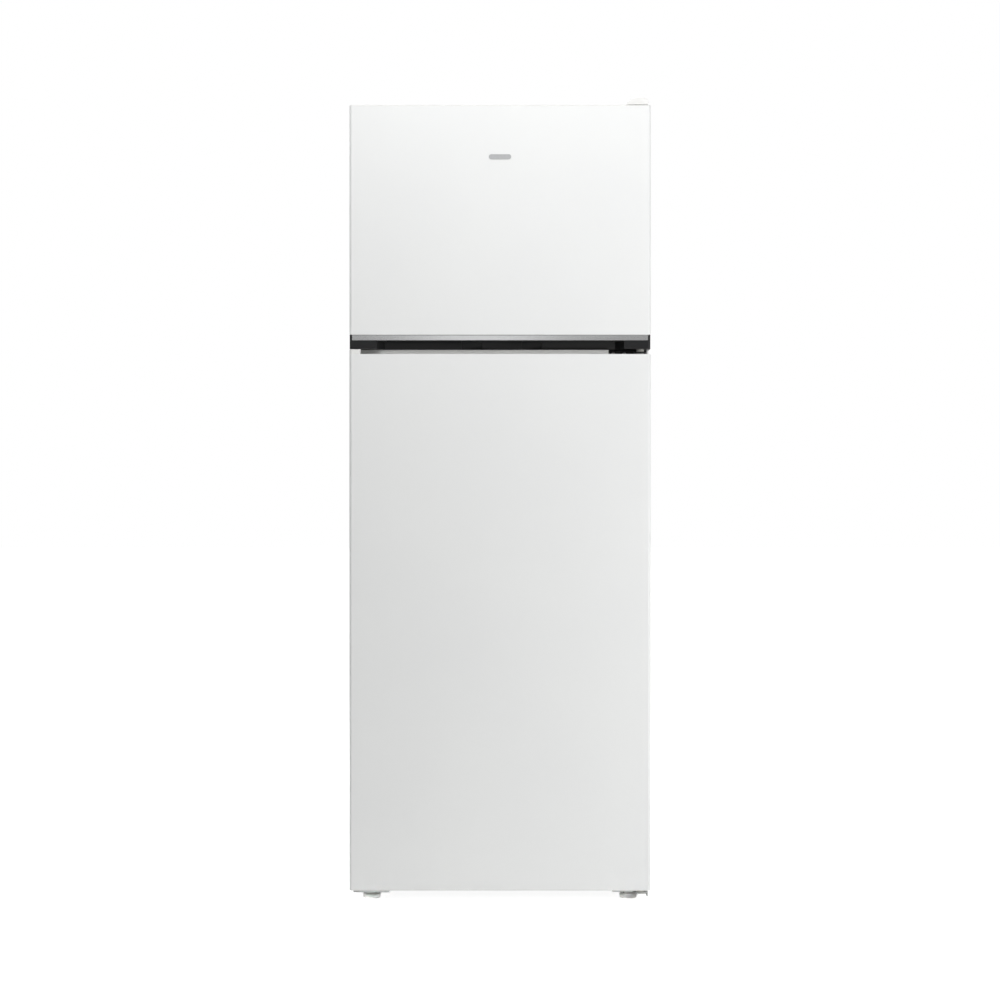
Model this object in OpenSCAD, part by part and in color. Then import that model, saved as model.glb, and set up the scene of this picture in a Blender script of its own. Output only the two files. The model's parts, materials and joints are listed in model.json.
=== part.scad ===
// Top-freezer refrigerator: a foamed cabinet with two right-hinged doors, shelves, crispers,
// ice maker, fan-cooled evaporator, rear condenser, compressor, front feet and rear rollers.
// X runs to the right, -Y is the door side, Z is up. The origin is on the floor, at the middle
// of the footprint. All sizes are in millimetres.

/* [Doors] */
// Width over both doors
door_w = 700; // [690:1:720]
// Thickness of a door without its gasket
door_t = 62; // [58:1:66]
// Height of the freezer door's top edge above the floor
door_top = 1854; // [1850:1:1860]
// Height of the fridge door's bottom edge above the floor
door_bottom = 30; // [29:1:34]
// Height where the freezer door's steel face ends and its handle begins
freezer_face_bottom = 1321; // [1319:1:1323]
// Height of the underside of the black freezer handle
handle_bottom = 1288; // [1287:1:1289]
// Height of the silver handle trim
trim_h = 13; // [10:1:14]
// Height of the fridge door's steel face
fridge_face_top = 1276; // [1275:1:1276]
// Radius of the doors' upright front edges
door_edge_r = 7; // [4:1:9]
// Depth of the finger recess in the freezer handle
scoop_d = 33; // [28:1:36]

/* [Cabinet] */
// Depth of the foamed cabinet
cabinet_d = 616; // [610:1:620]
// Height of the cabinet's top face
cabinet_top = 1857; // [1857:1:1858]
// Height of the cabinet's underside
cabinet_bottom = 24; // [24:1:25]
// Gap between door and cabinet, filled by the gasket
gasket_gap = 12; // [11:1:13]
// Half of the width inside the fridge liner
fridge_half = 300; // [298:1:302]
// Half of the width inside the freezer liner
freezer_half = 288; // [286:1:290]
// Wall thickness of both liners
liner_t = 2; // [1.5:0.5:2]

/* [Inside] */
// Heights of the tops of the three fridge shelves
shelf_levels = [545, 765, 985];
// Height of the top of the glass over the crispers
crisper_cover_z = 326; // [324:1:330]
// Height of the top of the freezer shelf
freezer_shelf_z = 1560; // [1540:5:1570]
// Heights of the floors of the freezer door racks
freezer_rack_levels = [1385, 1580];
// Heights of the floors of the fridge door racks, the lowest for bottles
fridge_rack_levels = [122, 430, 695, 955];
// How far a door rack reaches from the door's inner face
rack_d = 115; // [95:1:115]
// Wall thickness of racks and bins
bin_t = 3; // [2:0.5:3]

/* [Running gear] */
// Radius of a front foot's pad
foot_r = 20.5; // [16:0.5:22]
// Radius of a rear roller
roller_r = 14; // [12:1:14]
// Radius of the door hinge pins
pin_r = 5; // [4:0.5:6]
// Radial clearance of a pin in its bore
pin_gap = 0.08; // [0.05:0.01:0.09]
// Pitch of the condenser's tube runs
condenser_pitch = 50; // [45:5:60]
// Number of upright wires on each face of the condenser
wire_count = 36; // [20:1:40]

/* [Hidden] */
$fn = 48;

eps = 1; // overrun of a cutting shape past the face that it opens
sheet = 1; // thickness of the steel sheets
emblem_t = 0.8;

// Depth stations, from the door face to the wall spacers
door_face = -365;
door_back = door_face + door_t;
cab_front = door_back + gasket_gap;
cab_back = cab_front + cabinet_d;
rear_end = -door_face + emblem_t;
foam_front = cab_front + sheet;
foam_back = cab_back - sheet;

// Cabinet widths and heights
cab_half = door_w / 2 - 1;
foam_half = cab_half - sheet;
foam_bottom = cabinet_bottom + sheet;
foam_top = cabinet_top - sheet;
flange_half = 310; // the side flanges start here
freezer_floor = 1332;
freezer_ceiling = 1795;
freezer_back = 265;
fridge_floor = 75;
fridge_ceiling = 1240;
fridge_back = 275;
step_front = 105; // the fridge liner steps over the compressor bay
step_z = 322;
bay_front = 150; // the compressor bay's front wall and ceiling
bay_top = 270;

// Hinge axis, shared by both doors
hinge_x = 327;
hinge_y = -338;
hinge_plate_z = 1278.5; // underside of the middle hinge's arm
plate_t = 3.5;
low_plate_z = 20; // underside of the bottom hinge and of the left foot's bracket

// Door details
skin_t = 1;
door_liner_t = 1.5;
return_half = door_w / 2 - 13; // the skin's back returns end here
dyke_d = 45; // the liner's raised ring reaches this far past the door's back
dyke_w = 28;
freezer_dyke_half = 276;
fridge_dyke_half = 288;
cap_plug = 20; // depth of a cap inside its skin
trough_x = [-324, 253];
trough_y = [door_face + 4, door_face + 22];
scoop_x = [-268, 269];
scoop_ramp = [17, 19]; // run of the recess's left and right end ramps
grip_pocket_x = [-66, 74]; // middles of the two pockets in the recess's back wall
grip_pocket = [24, 8]; // half width and depth of such a pocket
gasket_half = 320;
gasket_w = 16;

// Front feet and rear rollers
foot_x = 302;
foot_y = -280;
roller_y = 296;

// Ice maker
ice_x = -200;
ice_axis_z = 1705;
ice_y = [-170, 110];

// Fan and knob
fan_z = 1690;
knob_x = 85;
knob_z = 1218;

// Compressor
comp_x = 130;
comp_y = 238;
comp_r = 76;

// A box from its lowest to its highest X, Y and Z
module span(x, y, z) {
    translate([x[0], y[0], z[0]]) cube([x[1] - x[0], y[1] - y[0], z[1] - z[0]]);
}

// A box that is symmetric about X = 0
module wide(half, y, z) {
    span([-half, half], y, z);
}

// Points of an arc, end points included
function arc(c, r, from, to, n = 6) =
    [for (i = [0 : n]) let (a = from + (to - from) * i / n) [c[0] + r * cos(a), c[1] + r * sin(a)]];

// A rectangle with four round corners
function round_rect(x, y, r) = concat(
    arc([x[1] - r, y[1] - r], r, 0, 90), arc([x[0] + r, y[1] - r], r, 90, 180),
    arc([x[0] + r, y[0] + r], r, 180, 270), arc([x[1] - r, y[0] + r], r, 270, 360));

// An upright prism with round upright edges
module round_block(x, y, z, r) {
    translate([0, 0, z[0]]) linear_extrude(z[1] - z[0]) polygon(round_rect(x, y, r));
}

// A prism along X whose section is given as [y, z] points
module along_x(x, section) {
    translate([x[0], 0, 0]) rotate([90, 0, 90]) linear_extrude(x[1] - x[0]) polygon(section);
}

// A rod along Y
module rod_y(x, y, z, r) {
    translate([x, y[1], z]) rotate([90, 0, 0]) cylinder(r = r, h = y[1] - y[0]);
}

// A rod along X
module rod_x(x, y, z, r) {
    translate([x[0], y, z]) rotate([0, 90, 0]) cylinder(r = r, h = x[1] - x[0]);
}

// An upright rod
module rod_z(x, y, z, r) {
    translate([x, y, z[0]]) cylinder(r = r, h = z[1] - z[0]);
}

// A tube swept along a route, with 8 sides and a ring at each point
function unit(v) = v / norm(v);
function sweep_ring(route, i, r) =
    let (last = len(route) - 1,
         ahead = unit(route[min(i + 1, last)] - route[max(i - 1, 0)]),
         helper = abs(ahead[2]) < 0.9 ? [0, 0, 1] : [1, 0, 0],
         u = unit(cross(helper, ahead)),
         v = cross(ahead, u))
    [for (k = [0 : 7]) route[i] + r * (cos(45 * k) * u + sin(45 * k) * v)];
module sweep(route, r) {
    last = len(route) - 1;
    rings = [for (i = [0 : last]) each sweep_ring(route, i, r)];
    sides = [for (i = [0 : last - 1]) for (k = [0 : 7])
        let (a = 8 * i + k, b = 8 * i + (k + 1) % 8) [a, a + 8, b + 8, b]];
    polyhedron(rings, concat([[for (k = [0 : 7]) k]], [[for (k = [7 : -1 : 0]) 8 * last + k]],
                             sides));
}

// ---- Cabinet shell ----

// One bent steel sheet: both sides and the top, with returns round the front and the back
module outer_wrapper() {
    color("white") {
        for (side = [0, 1]) mirror([side, 0, 0]) {
            span([foam_half, cab_half], [cab_front, cab_back], [cabinet_bottom, cabinet_top]);
            span([flange_half, foam_half], [cab_front, foam_front], [cabinet_bottom, cabinet_top]);
            span([foam_half - 18, foam_half], [foam_back, cab_back], [bay_top, cabinet_top]);
        }
        wide(foam_half, [cab_front, cab_back], [foam_top, cabinet_top]);
        wide(flange_half, [cab_front, foam_front], [freezer_ceiling + 10, foam_top]);
    }
}

module back_panel() {
    color("lightgray") wide(foam_half - 18, [foam_back, cab_back], [bay_top, foam_top]);
}

// Folded floor sheet that also walls off the compressor bay
module base_pan() {
    color("gainsboro") difference() {
        union() {
            wide(foam_half, [foam_front, bay_front], [cabinet_bottom, foam_bottom]);
            wide(flange_half, [cab_front, foam_front], [cabinet_bottom, fridge_floor - 10]);
            wide(foam_half, [bay_front - sheet, bay_front], [foam_bottom, bay_top]);
            wide(foam_half, [bay_front, foam_back], [bay_top - sheet, bay_top]);
        }
        for (x = [-foot_x, foot_x])
            rod_z(x, foot_y, [cabinet_bottom - eps, foam_bottom + eps], pin_r + pin_gap);
    }
}

// Foam between shell and liners, open at both compartments and cut away over the compressor
module cabinet_foam() {
    color("khaki") difference() {
        wide(foam_half, [foam_front, foam_back], [foam_bottom, foam_top]);
        along_x([-foam_half - eps, foam_half + eps],
            [[bay_front - sheet, foam_bottom - eps], [foam_back + eps, foam_bottom - eps],
             [foam_back + eps, bay_top], [bay_front - sheet, bay_top]]);
        fridge_cavity(liner_t, foam_front - eps);
        freezer_cavity(liner_t, foam_front - eps);
        rail_returns();
        rod_z(foot_x, foot_y, [foam_bottom - eps, 64], 7);
        rod_z(-foot_x, foot_y, [foam_bottom - eps, 64], 7);
    }
}

module fridge_cavity(grow, front) {
    along_x([-fridge_half - grow, fridge_half + grow],
        [[front, fridge_floor - grow], [step_front + grow, fridge_floor - grow],
         [step_front + grow, step_z - grow], [fridge_back + grow, step_z - grow],
         [fridge_back + grow, fridge_ceiling + grow], [front, fridge_ceiling + grow]]);
}

module freezer_cavity(grow, front) {
    wide(freezer_half + grow, [front, freezer_back + grow],
         [freezer_floor - grow, freezer_ceiling + grow]);
}

module freezer_liner() {
    rib_y = [-172, 185];
    color("whitesmoke") {
        difference() {
            union() {
                freezer_cavity(liner_t, foam_front);
                wide(flange_half, [cab_front, foam_front], [freezer_floor - 10, freezer_ceiling + 10]);
            }
            freezer_cavity(0, cab_front - eps);
        }
        for (side = [0, 1]) mirror([side, 0, 0])
            span([freezer_half - 7, freezer_half + 1], rib_y,
                 [freezer_shelf_z - 18, freezer_shelf_z - 4]);
    }
}

module fridge_liner() {
    color("whitesmoke") {
        difference() {
            union() {
                fridge_cavity(liner_t, foam_front);
                wide(flange_half, [cab_front, foam_front], [fridge_floor - 10, fridge_ceiling + 8]);
            }
            fridge_cavity(0, cab_front - eps);
        }
        for (side = [0, 1]) mirror([side, 0, 0]) {
            for (z = shelf_levels)
                span([fridge_half - 8, fridge_half + 1], [-155, 254], [z - 16, z - 4]);
            span([fridge_half - 8, fridge_half + 1], [-155, step_front + liner_t / 2],
                 [crisper_cover_z - 16, crisper_cover_z - 4]);
        }
    }
}

// Steel rail between the compartments, with two returns buried in the foam
module rail_returns() {
    for (z = [fridge_ceiling + 8, freezer_floor - 10 - sheet])
        wide(flange_half, [foam_front, foam_front + 20], [z, z + sheet]);
}
module mullion_rail() {
    color("white") {
        wide(flange_half, [cab_front, foam_front], [fridge_ceiling + 8, freezer_floor - 10]);
        rail_returns();
    }
}

// ---- Freezer compartment ----

// Front cover of the evaporator with a fan opening, outlet slots above and inlet slots below
module evaporator_cover() {
    y = [188, 191];
    color("white") {
        difference() {
            wide(freezer_half - 3, y, [freezer_floor + 2, freezer_ceiling - 2]);
            rod_y(0, [y[0] - eps, y[1] + eps], fan_z, 60);
            for (i = [-9 : 9]) translate([i * 26, 0, 0]) {
                span([-9, 9], [y[0] - eps, y[1] + eps], [1764, 1772]);
                span([-9, 9], [y[0] - eps, y[1] + eps], [1344, 1356]);
            }
        }
        for (i = [-4 : 4]) {
            half = sqrt(61 * 61 - 144 * i * i);
            wide(half, y, [fan_z + 12 * i - 1, fan_z + 12 * i + 1]);
        }
    }
}

// Finned block between two end plates, with its tube crossing every fin
module evaporator() {
    z = [1372, 1592];
    half = 206;
    color("silver") {
        for (i = [-12 : 12]) span([16 * i - 0.4, 16 * i + 0.4], [200, 256], z);
        for (x = [-half, half]) span([x - 1, x + 1], [200, freezer_back], [z[0] - 6, z[1] + 6]);
        serpentine(half + 8, 228, z[0] + 20, 36, 6, 4);
    }
}

// Level tube runs joined by half circles, in an upright plane
module serpentine(half, y, z, pitch, runs, r) {
    for (i = [0 : runs - 1]) rod_x([-half, half], y, z + pitch * i, r);
    for (i = [0 : runs - 2]) let (side = i % 2 == 0 ? 1 : -1)
        translate([side * half, y, z + pitch * (i + 0.5)]) rotate([90, 0, 0])
            rotate([0, 0, -90 * side]) rotate_extrude(angle = 180)
                translate([pitch / 2, 0]) circle(r);
}

module fan_motor() {
    color("dimgray") {
        rod_y(0, [212, 244], fan_z, 24);
        wide(70, [244, 247], [fan_z - 9, fan_z + 9]);
        for (x = [-66, 66]) rod_y(x, [247, freezer_back], fan_z, 5);
        rod_y(0, [196, 212], fan_z, 2.5);
    }
}

module evaporator_fan() {
    blades = 7;
    color("whitesmoke") difference() {
        union() {
            rod_y(0, [197, 209], fan_z, 15);
            for (i = [0 : blades - 1])
                translate([0, 203, fan_z]) rotate([0, 360 / blades * i, 0])
                    translate([32, 0, 0]) rotate([28, 0, 0]) cube([40, 1.6, 20], center = true);
        }
        rod_y(0, [197 - eps, 209 + eps], fan_z, 2.56);
    }
}

module freezer_shelf() {
    color("lightcyan") {
        wide(freezer_half - 2, [-176, 182], [freezer_shelf_z - 4, freezer_shelf_z]);
        wide(freezer_half - 9, [-182, -176], [freezer_shelf_z - 14, freezer_shelf_z + 4]);
    }
}

// Stand of the ice maker: two end plates with bearings, joined by rails at top and bottom
module ice_maker_stand() {
    half = 75;
    top = ice_axis_z + 26;
    color("whitesmoke") difference() {
        translate([ice_x, 0, 0]) {
            for (y = [[ice_y[0], ice_y[0] + 4], [ice_y[1] - 4, ice_y[1]]])
                wide(half, y, [freezer_shelf_z, top]);
            for (side = [0, 1]) mirror([side, 0, 0]) {
                span([half - 5, half], ice_y, [top - 12, top]);
                span([half - 5, half], ice_y, [freezer_shelf_z, freezer_shelf_z + 6]);
            }
        }
        rod_y(ice_x, [ice_y[0] - eps, ice_y[1] + eps], ice_axis_z, 6.08);
        for (y = ice_y) translate([ice_x, 0, 0])
            wide(half - 11, [y - 5, y + 5], [freezer_shelf_z - eps, freezer_shelf_z + 78]);
    }
}

// Twisting tray with two rows of cups, trunnions at its ends and a lever in front
module ice_tray() {
    half = 54;
    y = [ice_y[0] + 8, ice_y[1] - 8];
    cups = 7;
    color("azure") {
        difference() {
            translate([ice_x, 0, 0]) wide(half, y, [ice_axis_z - 26, ice_axis_z + 7]);
            for (i = [0 : cups - 1]) for (side = [-1, 1])
                let (cx = ice_x + side * 26, cy = y[0] + 4 + 37.1 * i)
                round_block([cx - 23, cx + 23], [cy, cy + 33], [ice_axis_z - 23, ice_axis_z + 7 + eps], 5);
        }
        rod_y(ice_x, [ice_y[0] - 5, y[0] + 1], ice_axis_z, 6);
        rod_y(ice_x, [y[1] - 1, ice_y[1]], ice_axis_z, 6);
        rod_y(ice_x, [ice_y[0] - 12, ice_y[0] - 4], ice_axis_z, 15);
        span([ice_x - 4, ice_x + 4], [ice_y[0] - 12, ice_y[0] - 4], [ice_axis_z + 8, ice_axis_z + 42]);
    }
}

module open_bin(x, y, z, t, r) {
    difference() {
        round_block(x, y, z, r);
        round_block([x[0] + t, x[1] - t], [y[0] + t, y[1] - t], [z[0] + t, z[1] + eps], r - 2);
    }
}

module ice_bin() {
    color("aliceblue") open_bin([ice_x - 62, ice_x + 62], [ice_y[0] - 4, ice_y[1] - 8],
                                [freezer_shelf_z + 0.5, freezer_shelf_z + 74], 2.5, 8);
}

// ---- Fridge compartment ----

// Cold air column on the back wall, with outlet slots between the shelves
module air_duct() {
    y = [fridge_back - 20, fridge_back];
    color("white") difference() {
        wide(110, y, [345, 1196]);
        wide(104, [y[0] + 3, y[1] + eps], [351, 1190]);
        for (z = [430, 640, 860, 1080]) for (k = [-1 : 1]) for (side = [-1, 1])
            translate([side * 52, 0, z + 14 * k]) wide(30, [y[0] - eps, y[0] + 4], [-3, 3]);
    }
}

module control_box() {
    color("white") difference() {
        wide(150, [-200, -40], [1196, fridge_ceiling]);
        wide(146, [-196, -44], [1199, fridge_ceiling + eps]);
        span([-90, 50], [-170, -70], [1196 - eps, 1199 + eps]);
        rod_y(knob_x, [-200 - eps, -196 + eps], knob_z, 4.08);
    }
}

module lamp_lens() {
    color("ivory") span([-90, 50], [-170, -70], [1194, 1198]);
}

module thermostat_knob() {
    color("white") {
        rod_y(knob_x, [-214, -200.5], knob_z, 17);
        rod_y(knob_x, [-200.5, -188], knob_z, 4);
        span([knob_x - 3, knob_x + 3], [-221, -214], [knob_z - 15, knob_z + 15]);
    }
}

module fridge_shelves() {
    color("lightcyan") for (z = shelf_levels)
        wide(fridge_half - 2, [-158, 250], [z - 4, z]);
}

module shelf_trims() {
    color("white") for (z = shelf_levels)
        along_x([-fridge_half + 9, fridge_half - 9],
            [[-158, z - 4], [-158, z], [-156, z], [-156, z + 3], [-166, z + 3], [-168, z + 1],
             [-168, z - 14], [-164, z - 14], [-164, z - 4]]);
}

module crisper_cover() {
    color("lightcyan") wide(fridge_half - 2, [-160, 250], [crisper_cover_z - 4, crisper_cover_z]);
}

// Front bar and middle runner that carry the glass between the two crispers
module crisper_frame() {
    color("white") {
        wide(fridge_half - 9, [-168, -160], [crisper_cover_z - 16, crisper_cover_z + 3]);
        wide(5, [-160, step_front], [fridge_floor, crisper_cover_z - 4]);
    }
}

// A crisper: deep open bin with a thicker front and a finger rail along its top
module crisper(x) {
    top = crisper_cover_z - 22;
    color("lightblue") {
        open_bin(x, [-164, 98], [fridge_floor + 0.5, top - 12], bin_t, 12);
        difference() {
            round_block([x[0], x[1]], [-174, -160], [fridge_floor + 0.5, top], 4);
            span([x[0] + 50, x[1] - 50], [-170, -160 + eps], [top - 24, top - 4]);
            span([x[0] + 50, x[1] - 50], [-174 - eps, -166], [top - 24, top - 10]);
            span([x[0] + bin_t, x[1] - bin_t], [-161, -160 + eps], [fridge_floor + 5, top - 26]);
        }
    }
}
module left_crisper() {
    crisper([-fridge_half + 5, -8]);
}
module right_crisper() {
    crisper([8, fridge_half - 5]);
}

// ---- Hinges ----

module top_hinge() {
    z = [cabinet_top, cabinet_top + plate_t];
    color("silver") difference() {
        union() {
            span([300, 342], [-286, -236], z);
            span([hinge_x - 12, hinge_x + 12], [hinge_y, -286], z);
            rod_z(hinge_x, hinge_y, z, 12);
            rod_z(hinge_x, hinge_y, [door_top - 16, z[1]], pin_r);
            rod_z(hinge_x, hinge_y, [z[1], z[1] + 3], pin_r + 3);
        }
        for (p = top_screws) rod_z(p[0], p[1], [z[0] - eps, z[1] + eps], 2.7);
    }
}
top_screws = [[308, -276], [334, -276], [321, -246]];

// Cover over the top hinge, sloped on its left side and open underneath
module top_hinge_cover() {
    z = [cabinet_top, 1873];
    outer = [[293, z[0]], [296, z[0] + 5], [308, z[1] - 1.5], [313, z[1]], [336, z[1]], [341, z[1] - 2],
             [345, z[0] + 6], [345, z[0]]];
    inner = [[296, z[0] - eps], [298.5, z[0] + 5], [311, z[1] - 3], [336, z[1] - 3],
             [343, z[0] + 4], [343, z[0] - eps]];
    color("white") difference() {
        translate([0, -226, 0]) rotate([90, 0, 0]) linear_extrude(127) polygon(outer);
        translate([0, -228.5, 0]) rotate([90, 0, 0]) linear_extrude(122) polygon(inner);
    }
}

module middle_hinge() {
    z = [hinge_plate_z, hinge_plate_z + plate_t];
    face = [cab_front - plate_t, cab_front];
    color("black") difference() {
        union() {
            span([255, 345], face, [1270, 1292]);
            span([hinge_x - 14, hinge_x + 14], [hinge_y, face[0]], z);
            rod_z(hinge_x, hinge_y, z, 14);
            rod_z(hinge_x, hinge_y, [fridge_face_top - 20, handle_bottom + 20], pin_r);
        }
        for (p = face_screws) rod_y(p[0], [face[0] - eps, face[1] + eps], p[1], 2.7);
    }
}
face_screws = [[266, 1281], [292, 1281]];

// Bottom hinge, whose plate also holds the right foot, and the left foot's bracket
module bottom_brackets() {
    z = [low_plate_z, cabinet_bottom];
    color("silver") difference() {
        union() {
            span([262, 345], [-322, -190], z);
            span([hinge_x - 15, 345], [hinge_y, -322], z);
            rod_z(hinge_x, hinge_y, z, 15);
            rod_z(hinge_x, hinge_y, [z[0], door_bottom + 20], pin_r);
            span([342, 345], [hinge_y, -230], [low_plate_z - 8, low_plate_z]);
            span([-343, -258], [-330, -210], z);
        }
        for (x = [-foot_x, foot_x]) rod_z(x, foot_y, [z[0] - eps, z[1] + eps], pin_r + pin_gap);
        for (p = low_screws) rod_z(p[0], p[1], [z[0] - eps, z[1] + eps], 2.7);
    }
}
low_screws = [[276, -212], [330, -212], [330, -256], [-272, -222], [-330, -222]];

module screw(head_r) {
    cylinder(r = head_r, h = 2.4);
    translate([0, 0, -plate_t]) cylinder(r = 2.5, h = plate_t);
}

module hinge_screws() {
    color("silver") {
        for (p = top_screws) translate([p[0], p[1], cabinet_top + plate_t]) screw(4.6);
        for (p = face_screws) translate([p[0], cab_front - plate_t, p[1]])
            rotate([90, 0, 0]) screw(4.6);
        for (p = low_screws) translate([p[0], p[1], cabinet_bottom - plate_t - 0.5])
            rotate([180, 0, 0]) screw(4.6);
    }
}

// Nylon washers that keep the doors off the hinge plates
module hinge_washers() {
    gap = 0.3;
    color("white") difference() {
        union() {
            rod_z(hinge_x, hinge_y, [door_top + gap, cabinet_top], 9);
            rod_z(hinge_x, hinge_y, [hinge_plate_z + plate_t, handle_bottom - gap], 9);
            rod_z(hinge_x, hinge_y, [fridge_face_top + gap, hinge_plate_z], 9);
            rod_z(hinge_x, hinge_y, [cabinet_bottom, door_bottom - gap], 9);
        }
        rod_z(hinge_x, hinge_y, [0, cabinet_top + eps], pin_r + 0.05);
    }
}

// ---- Cooling machinery ----

// Welded two-piece shell on a foot plate, with four rubber mounts under it
module compressor() {
    z = 44;
    shell = concat([[0, z + 2], [52, z + 2]], arc([52, z + 26], 24, -80, 0, 5),
        [[comp_r, z + 88], [comp_r + 4, z + 88], [comp_r + 4, z + 92], [comp_r, z + 92]],
        arc([comp_r - 46, z + 124], 46, 0, 90, 7), [[0, z + 170]]);
    color("dimgray") {
        difference() {
            union() {
                translate([comp_x, comp_y, 0]) rotate_extrude($fn = 64) polygon(shell);
                span([comp_x - 95, comp_x + 95], [comp_y - 45, comp_y + 45], [z - 3, z + 3]);
            }
            for (p = mount_points) rod_z(p[0], p[1], [z - 4, z + 4], 6);
        }
        for (p = mount_points) {
            rod_z(p[0], p[1], [33, z - 3], 11);
            rod_z(p[0], p[1], [z - 3, z + 3], 5.9);
            rod_z(p[0], p[1], [z + 3, z + 7], 9);
        }
    }
}
mount_points = [for (sx = [-1, 1]) for (sy = [-1, 1]) [comp_x + 84 * sx, comp_y + 34 * sy]];

module terminal_box() {
    color("black") round_block([comp_x + comp_r + 5, comp_x + comp_r + 31],
                               [comp_y - 27, comp_y + 27], [70, 128], 4);
}

module evaporation_tray() {
    color("darkgray") open_bin([comp_x - 70, comp_x + 70], [comp_y - 52, comp_y + 58],
                               [214, 250], 2.5, 10);
}

// Discharge line to the condenser, its drier, the suction line, and the lines into the foam
module refrigerant_lines() {
    left = comp_x - comp_r - 1;
    roof = bay_top - sheet - 0.5;
    drier = [-225, 250];
    color("peru") {
        sweep([[left, comp_y, 110], [left - 20, comp_y, 110], [left - 60, comp_y + 6, 118],
               [left - 110, comp_y + 30, 150], [left - 150, comp_y + 52, 200],
               [left - 190, comp_y + 66, 234], [left - 236, comp_y + 80, 251], [-250, 333, 270],
               [-264, 340, 290], [-269, 341, 308], [-266, 341, 322], [-258, 341, 329],
               [-250, 341, 330], [-241, 341, 330]], tube_r);
        sweep([[left + 4, comp_y - 30, 116], [left - 14, comp_y - 34, 124],
               [left - 30, comp_y - 40, 156], [left - 36, comp_y - 44, 200],
               [left - 38, comp_y - 44, 240], [left - 38, comp_y - 44, roof]], 4);
        rod_z(drier[0], drier[1], [60, 190], 11);
        sweep([[drier[0], drier[1], 189], [drier[0], drier[1], 205], [-222, 249, 225],
               [-214, 246, 245], [-210, 244, roof]], 2);
        sweep([[drier[0], drier[1], 61], [drier[0], drier[1], 50], [-232, 251, 43],
               [-245, 253, 43], [-253, 254, 52], [-256, 254, 70], [-256, 254, roof]], 2);
        sweep([[-241, 341, 1480], [-247, 341, 1480], [-252, 339, 1480], [-255, 334, 1480],
               [-255, cab_back + 0.3, 1480]], tube_r);
    }
}

// Steel channel across the bay that carries the compressor, with roller forks and axles
module base_rail() {
    ear = [roller_y - 12, roller_y + 12];
    color("silver") {
        wide(foam_half, [bay_front + 2, 320], [30, 33]);
        wide(foam_half, [bay_front + 2, bay_front + 5], [33, 52]);
        wide(foam_half, [317, 320], [33, 46]);
        for (side = [0, 1]) mirror([side, 0, 0]) {
            for (x = [foot_x - 12, foot_x + 9]) span([x, x + 3], ear, [8, 30]);
            rod_x([foot_x - 14, foot_x + 14], roller_y, roller_r, 4);
        }
    }
}

module roller(x) {
    color("whitesmoke") translate([x, roller_y, roller_r]) rotate([0, 90, 0]) difference() {
        rotate_extrude() polygon([[0, -8], [roller_r - 1.5, -8], [roller_r, -6.5],
                                  [roller_r, 6.5], [roller_r - 1.5, 8], [0, 8]]);
        translate([0, 0, -9]) cylinder(r = 4.08, h = 18);
    }
}
module left_roller() {
    roller(-foot_x);
}
module right_roller() {
    roller(foot_x);
}

// Front foot: ribbed pad and collar on a threaded stud
module foot(x) {
    color("gainsboro") translate([x, foot_y, 0]) {
        rotate_extrude() polygon([[0, 0], [foot_r - 2.5, 0], [foot_r - 0.6, 1.6], [foot_r, 4],
            [foot_r, 10], [foot_r - 1.5, 12.4], [foot_r - 4, 13], [14, 13], [13.4, 19.6], [0, 19.6]]);
        translate([0, 0, 19]) cylinder(r = pin_r, h = 41);
    }
}
module left_foot() {
    foot(-foot_x);
}
module right_foot() {
    foot(foot_x);
}

// Condenser: a serpentine tube with upright wires on both faces, clear of the back panel
condenser_y = cab_back + 16;
condenser_half = 240;
condenser_z = 330;
condenser_runs = 24;
tube_r = 2.4;
wire_r = 0.8;
module condenser_tube() {
    color("black") serpentine(condenser_half, condenser_y, condenser_z, condenser_pitch,
                              condenser_runs, tube_r);
}
module condenser_wires() {
    run = condenser_pitch * (condenser_runs - 1);
    color("black") for (i = [0 : wire_count - 1]) for (side = [-1, 1])
        rod_z(-condenser_half + 8 + i * (2 * condenser_half - 16) / (wire_count - 1),
              condenser_y + side * (tube_r + wire_r + 0.1), [condenser_z - 12, condenser_z + run + 12],
              wire_r);
}

// Clips that hold the condenser, the upper pair with wall spacers
module condenser_brackets() {
    x = condenser_half + condenser_pitch / 2 + 4;
    color("dimgray") for (side = [0, 1]) mirror([side, 0, 0]) for (z = [430, 930, 1430]) {
        span([x, x + 14], [cab_back, condenser_y + 8], [z - 9, z + 9]);
        span([x - 30, x], [cab_back, cab_back + 3], [z - 9, z + 9]);
        if (z > 1400) span([x + 3, x + 11], [condenser_y + 8, rear_end], [z - 9, z + 9]);
    }
}

module cord_inlet() {
    color("black") difference() {
        union() {
            span([232, 272], [cab_back, cab_back + 4], [282, 318]);
            rod_y(252, [cab_back + 4, cab_back + 16], 300, 10);
        }
        rod_y(252, [cab_back + 1, cab_back + 16 + eps], 300, 4.5);
    }
}

// ---- Doors ----

// Plan outline of a door with round front edges, shrunk by t on the front and sides
function door_outline(t, back) = concat(
    arc([-door_w / 2 + door_edge_r, door_face + door_edge_r], door_edge_r - t, 180, 270),
    arc([door_w / 2 - door_edge_r, door_face + door_edge_r], door_edge_r - t, 270, 360),
    [[door_w / 2 - t, back], [-door_w / 2 + t, back]]);

module door_solid(t, back, z) {
    translate([0, 0, z[0]]) linear_extrude(z[1] - z[0]) polygon(door_outline(t, back));
}

// Painted steel face, wrapped round both sides and returned behind
module door_skin(z) {
    difference() {
        door_solid(0, door_back, z);
        door_solid(skin_t, door_back - skin_t, [z[0] - eps, z[1] + eps]);
        wide(return_half, [door_back - 5, door_back + eps], [z[0] - eps, z[1] + eps]);
    }
}

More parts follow.
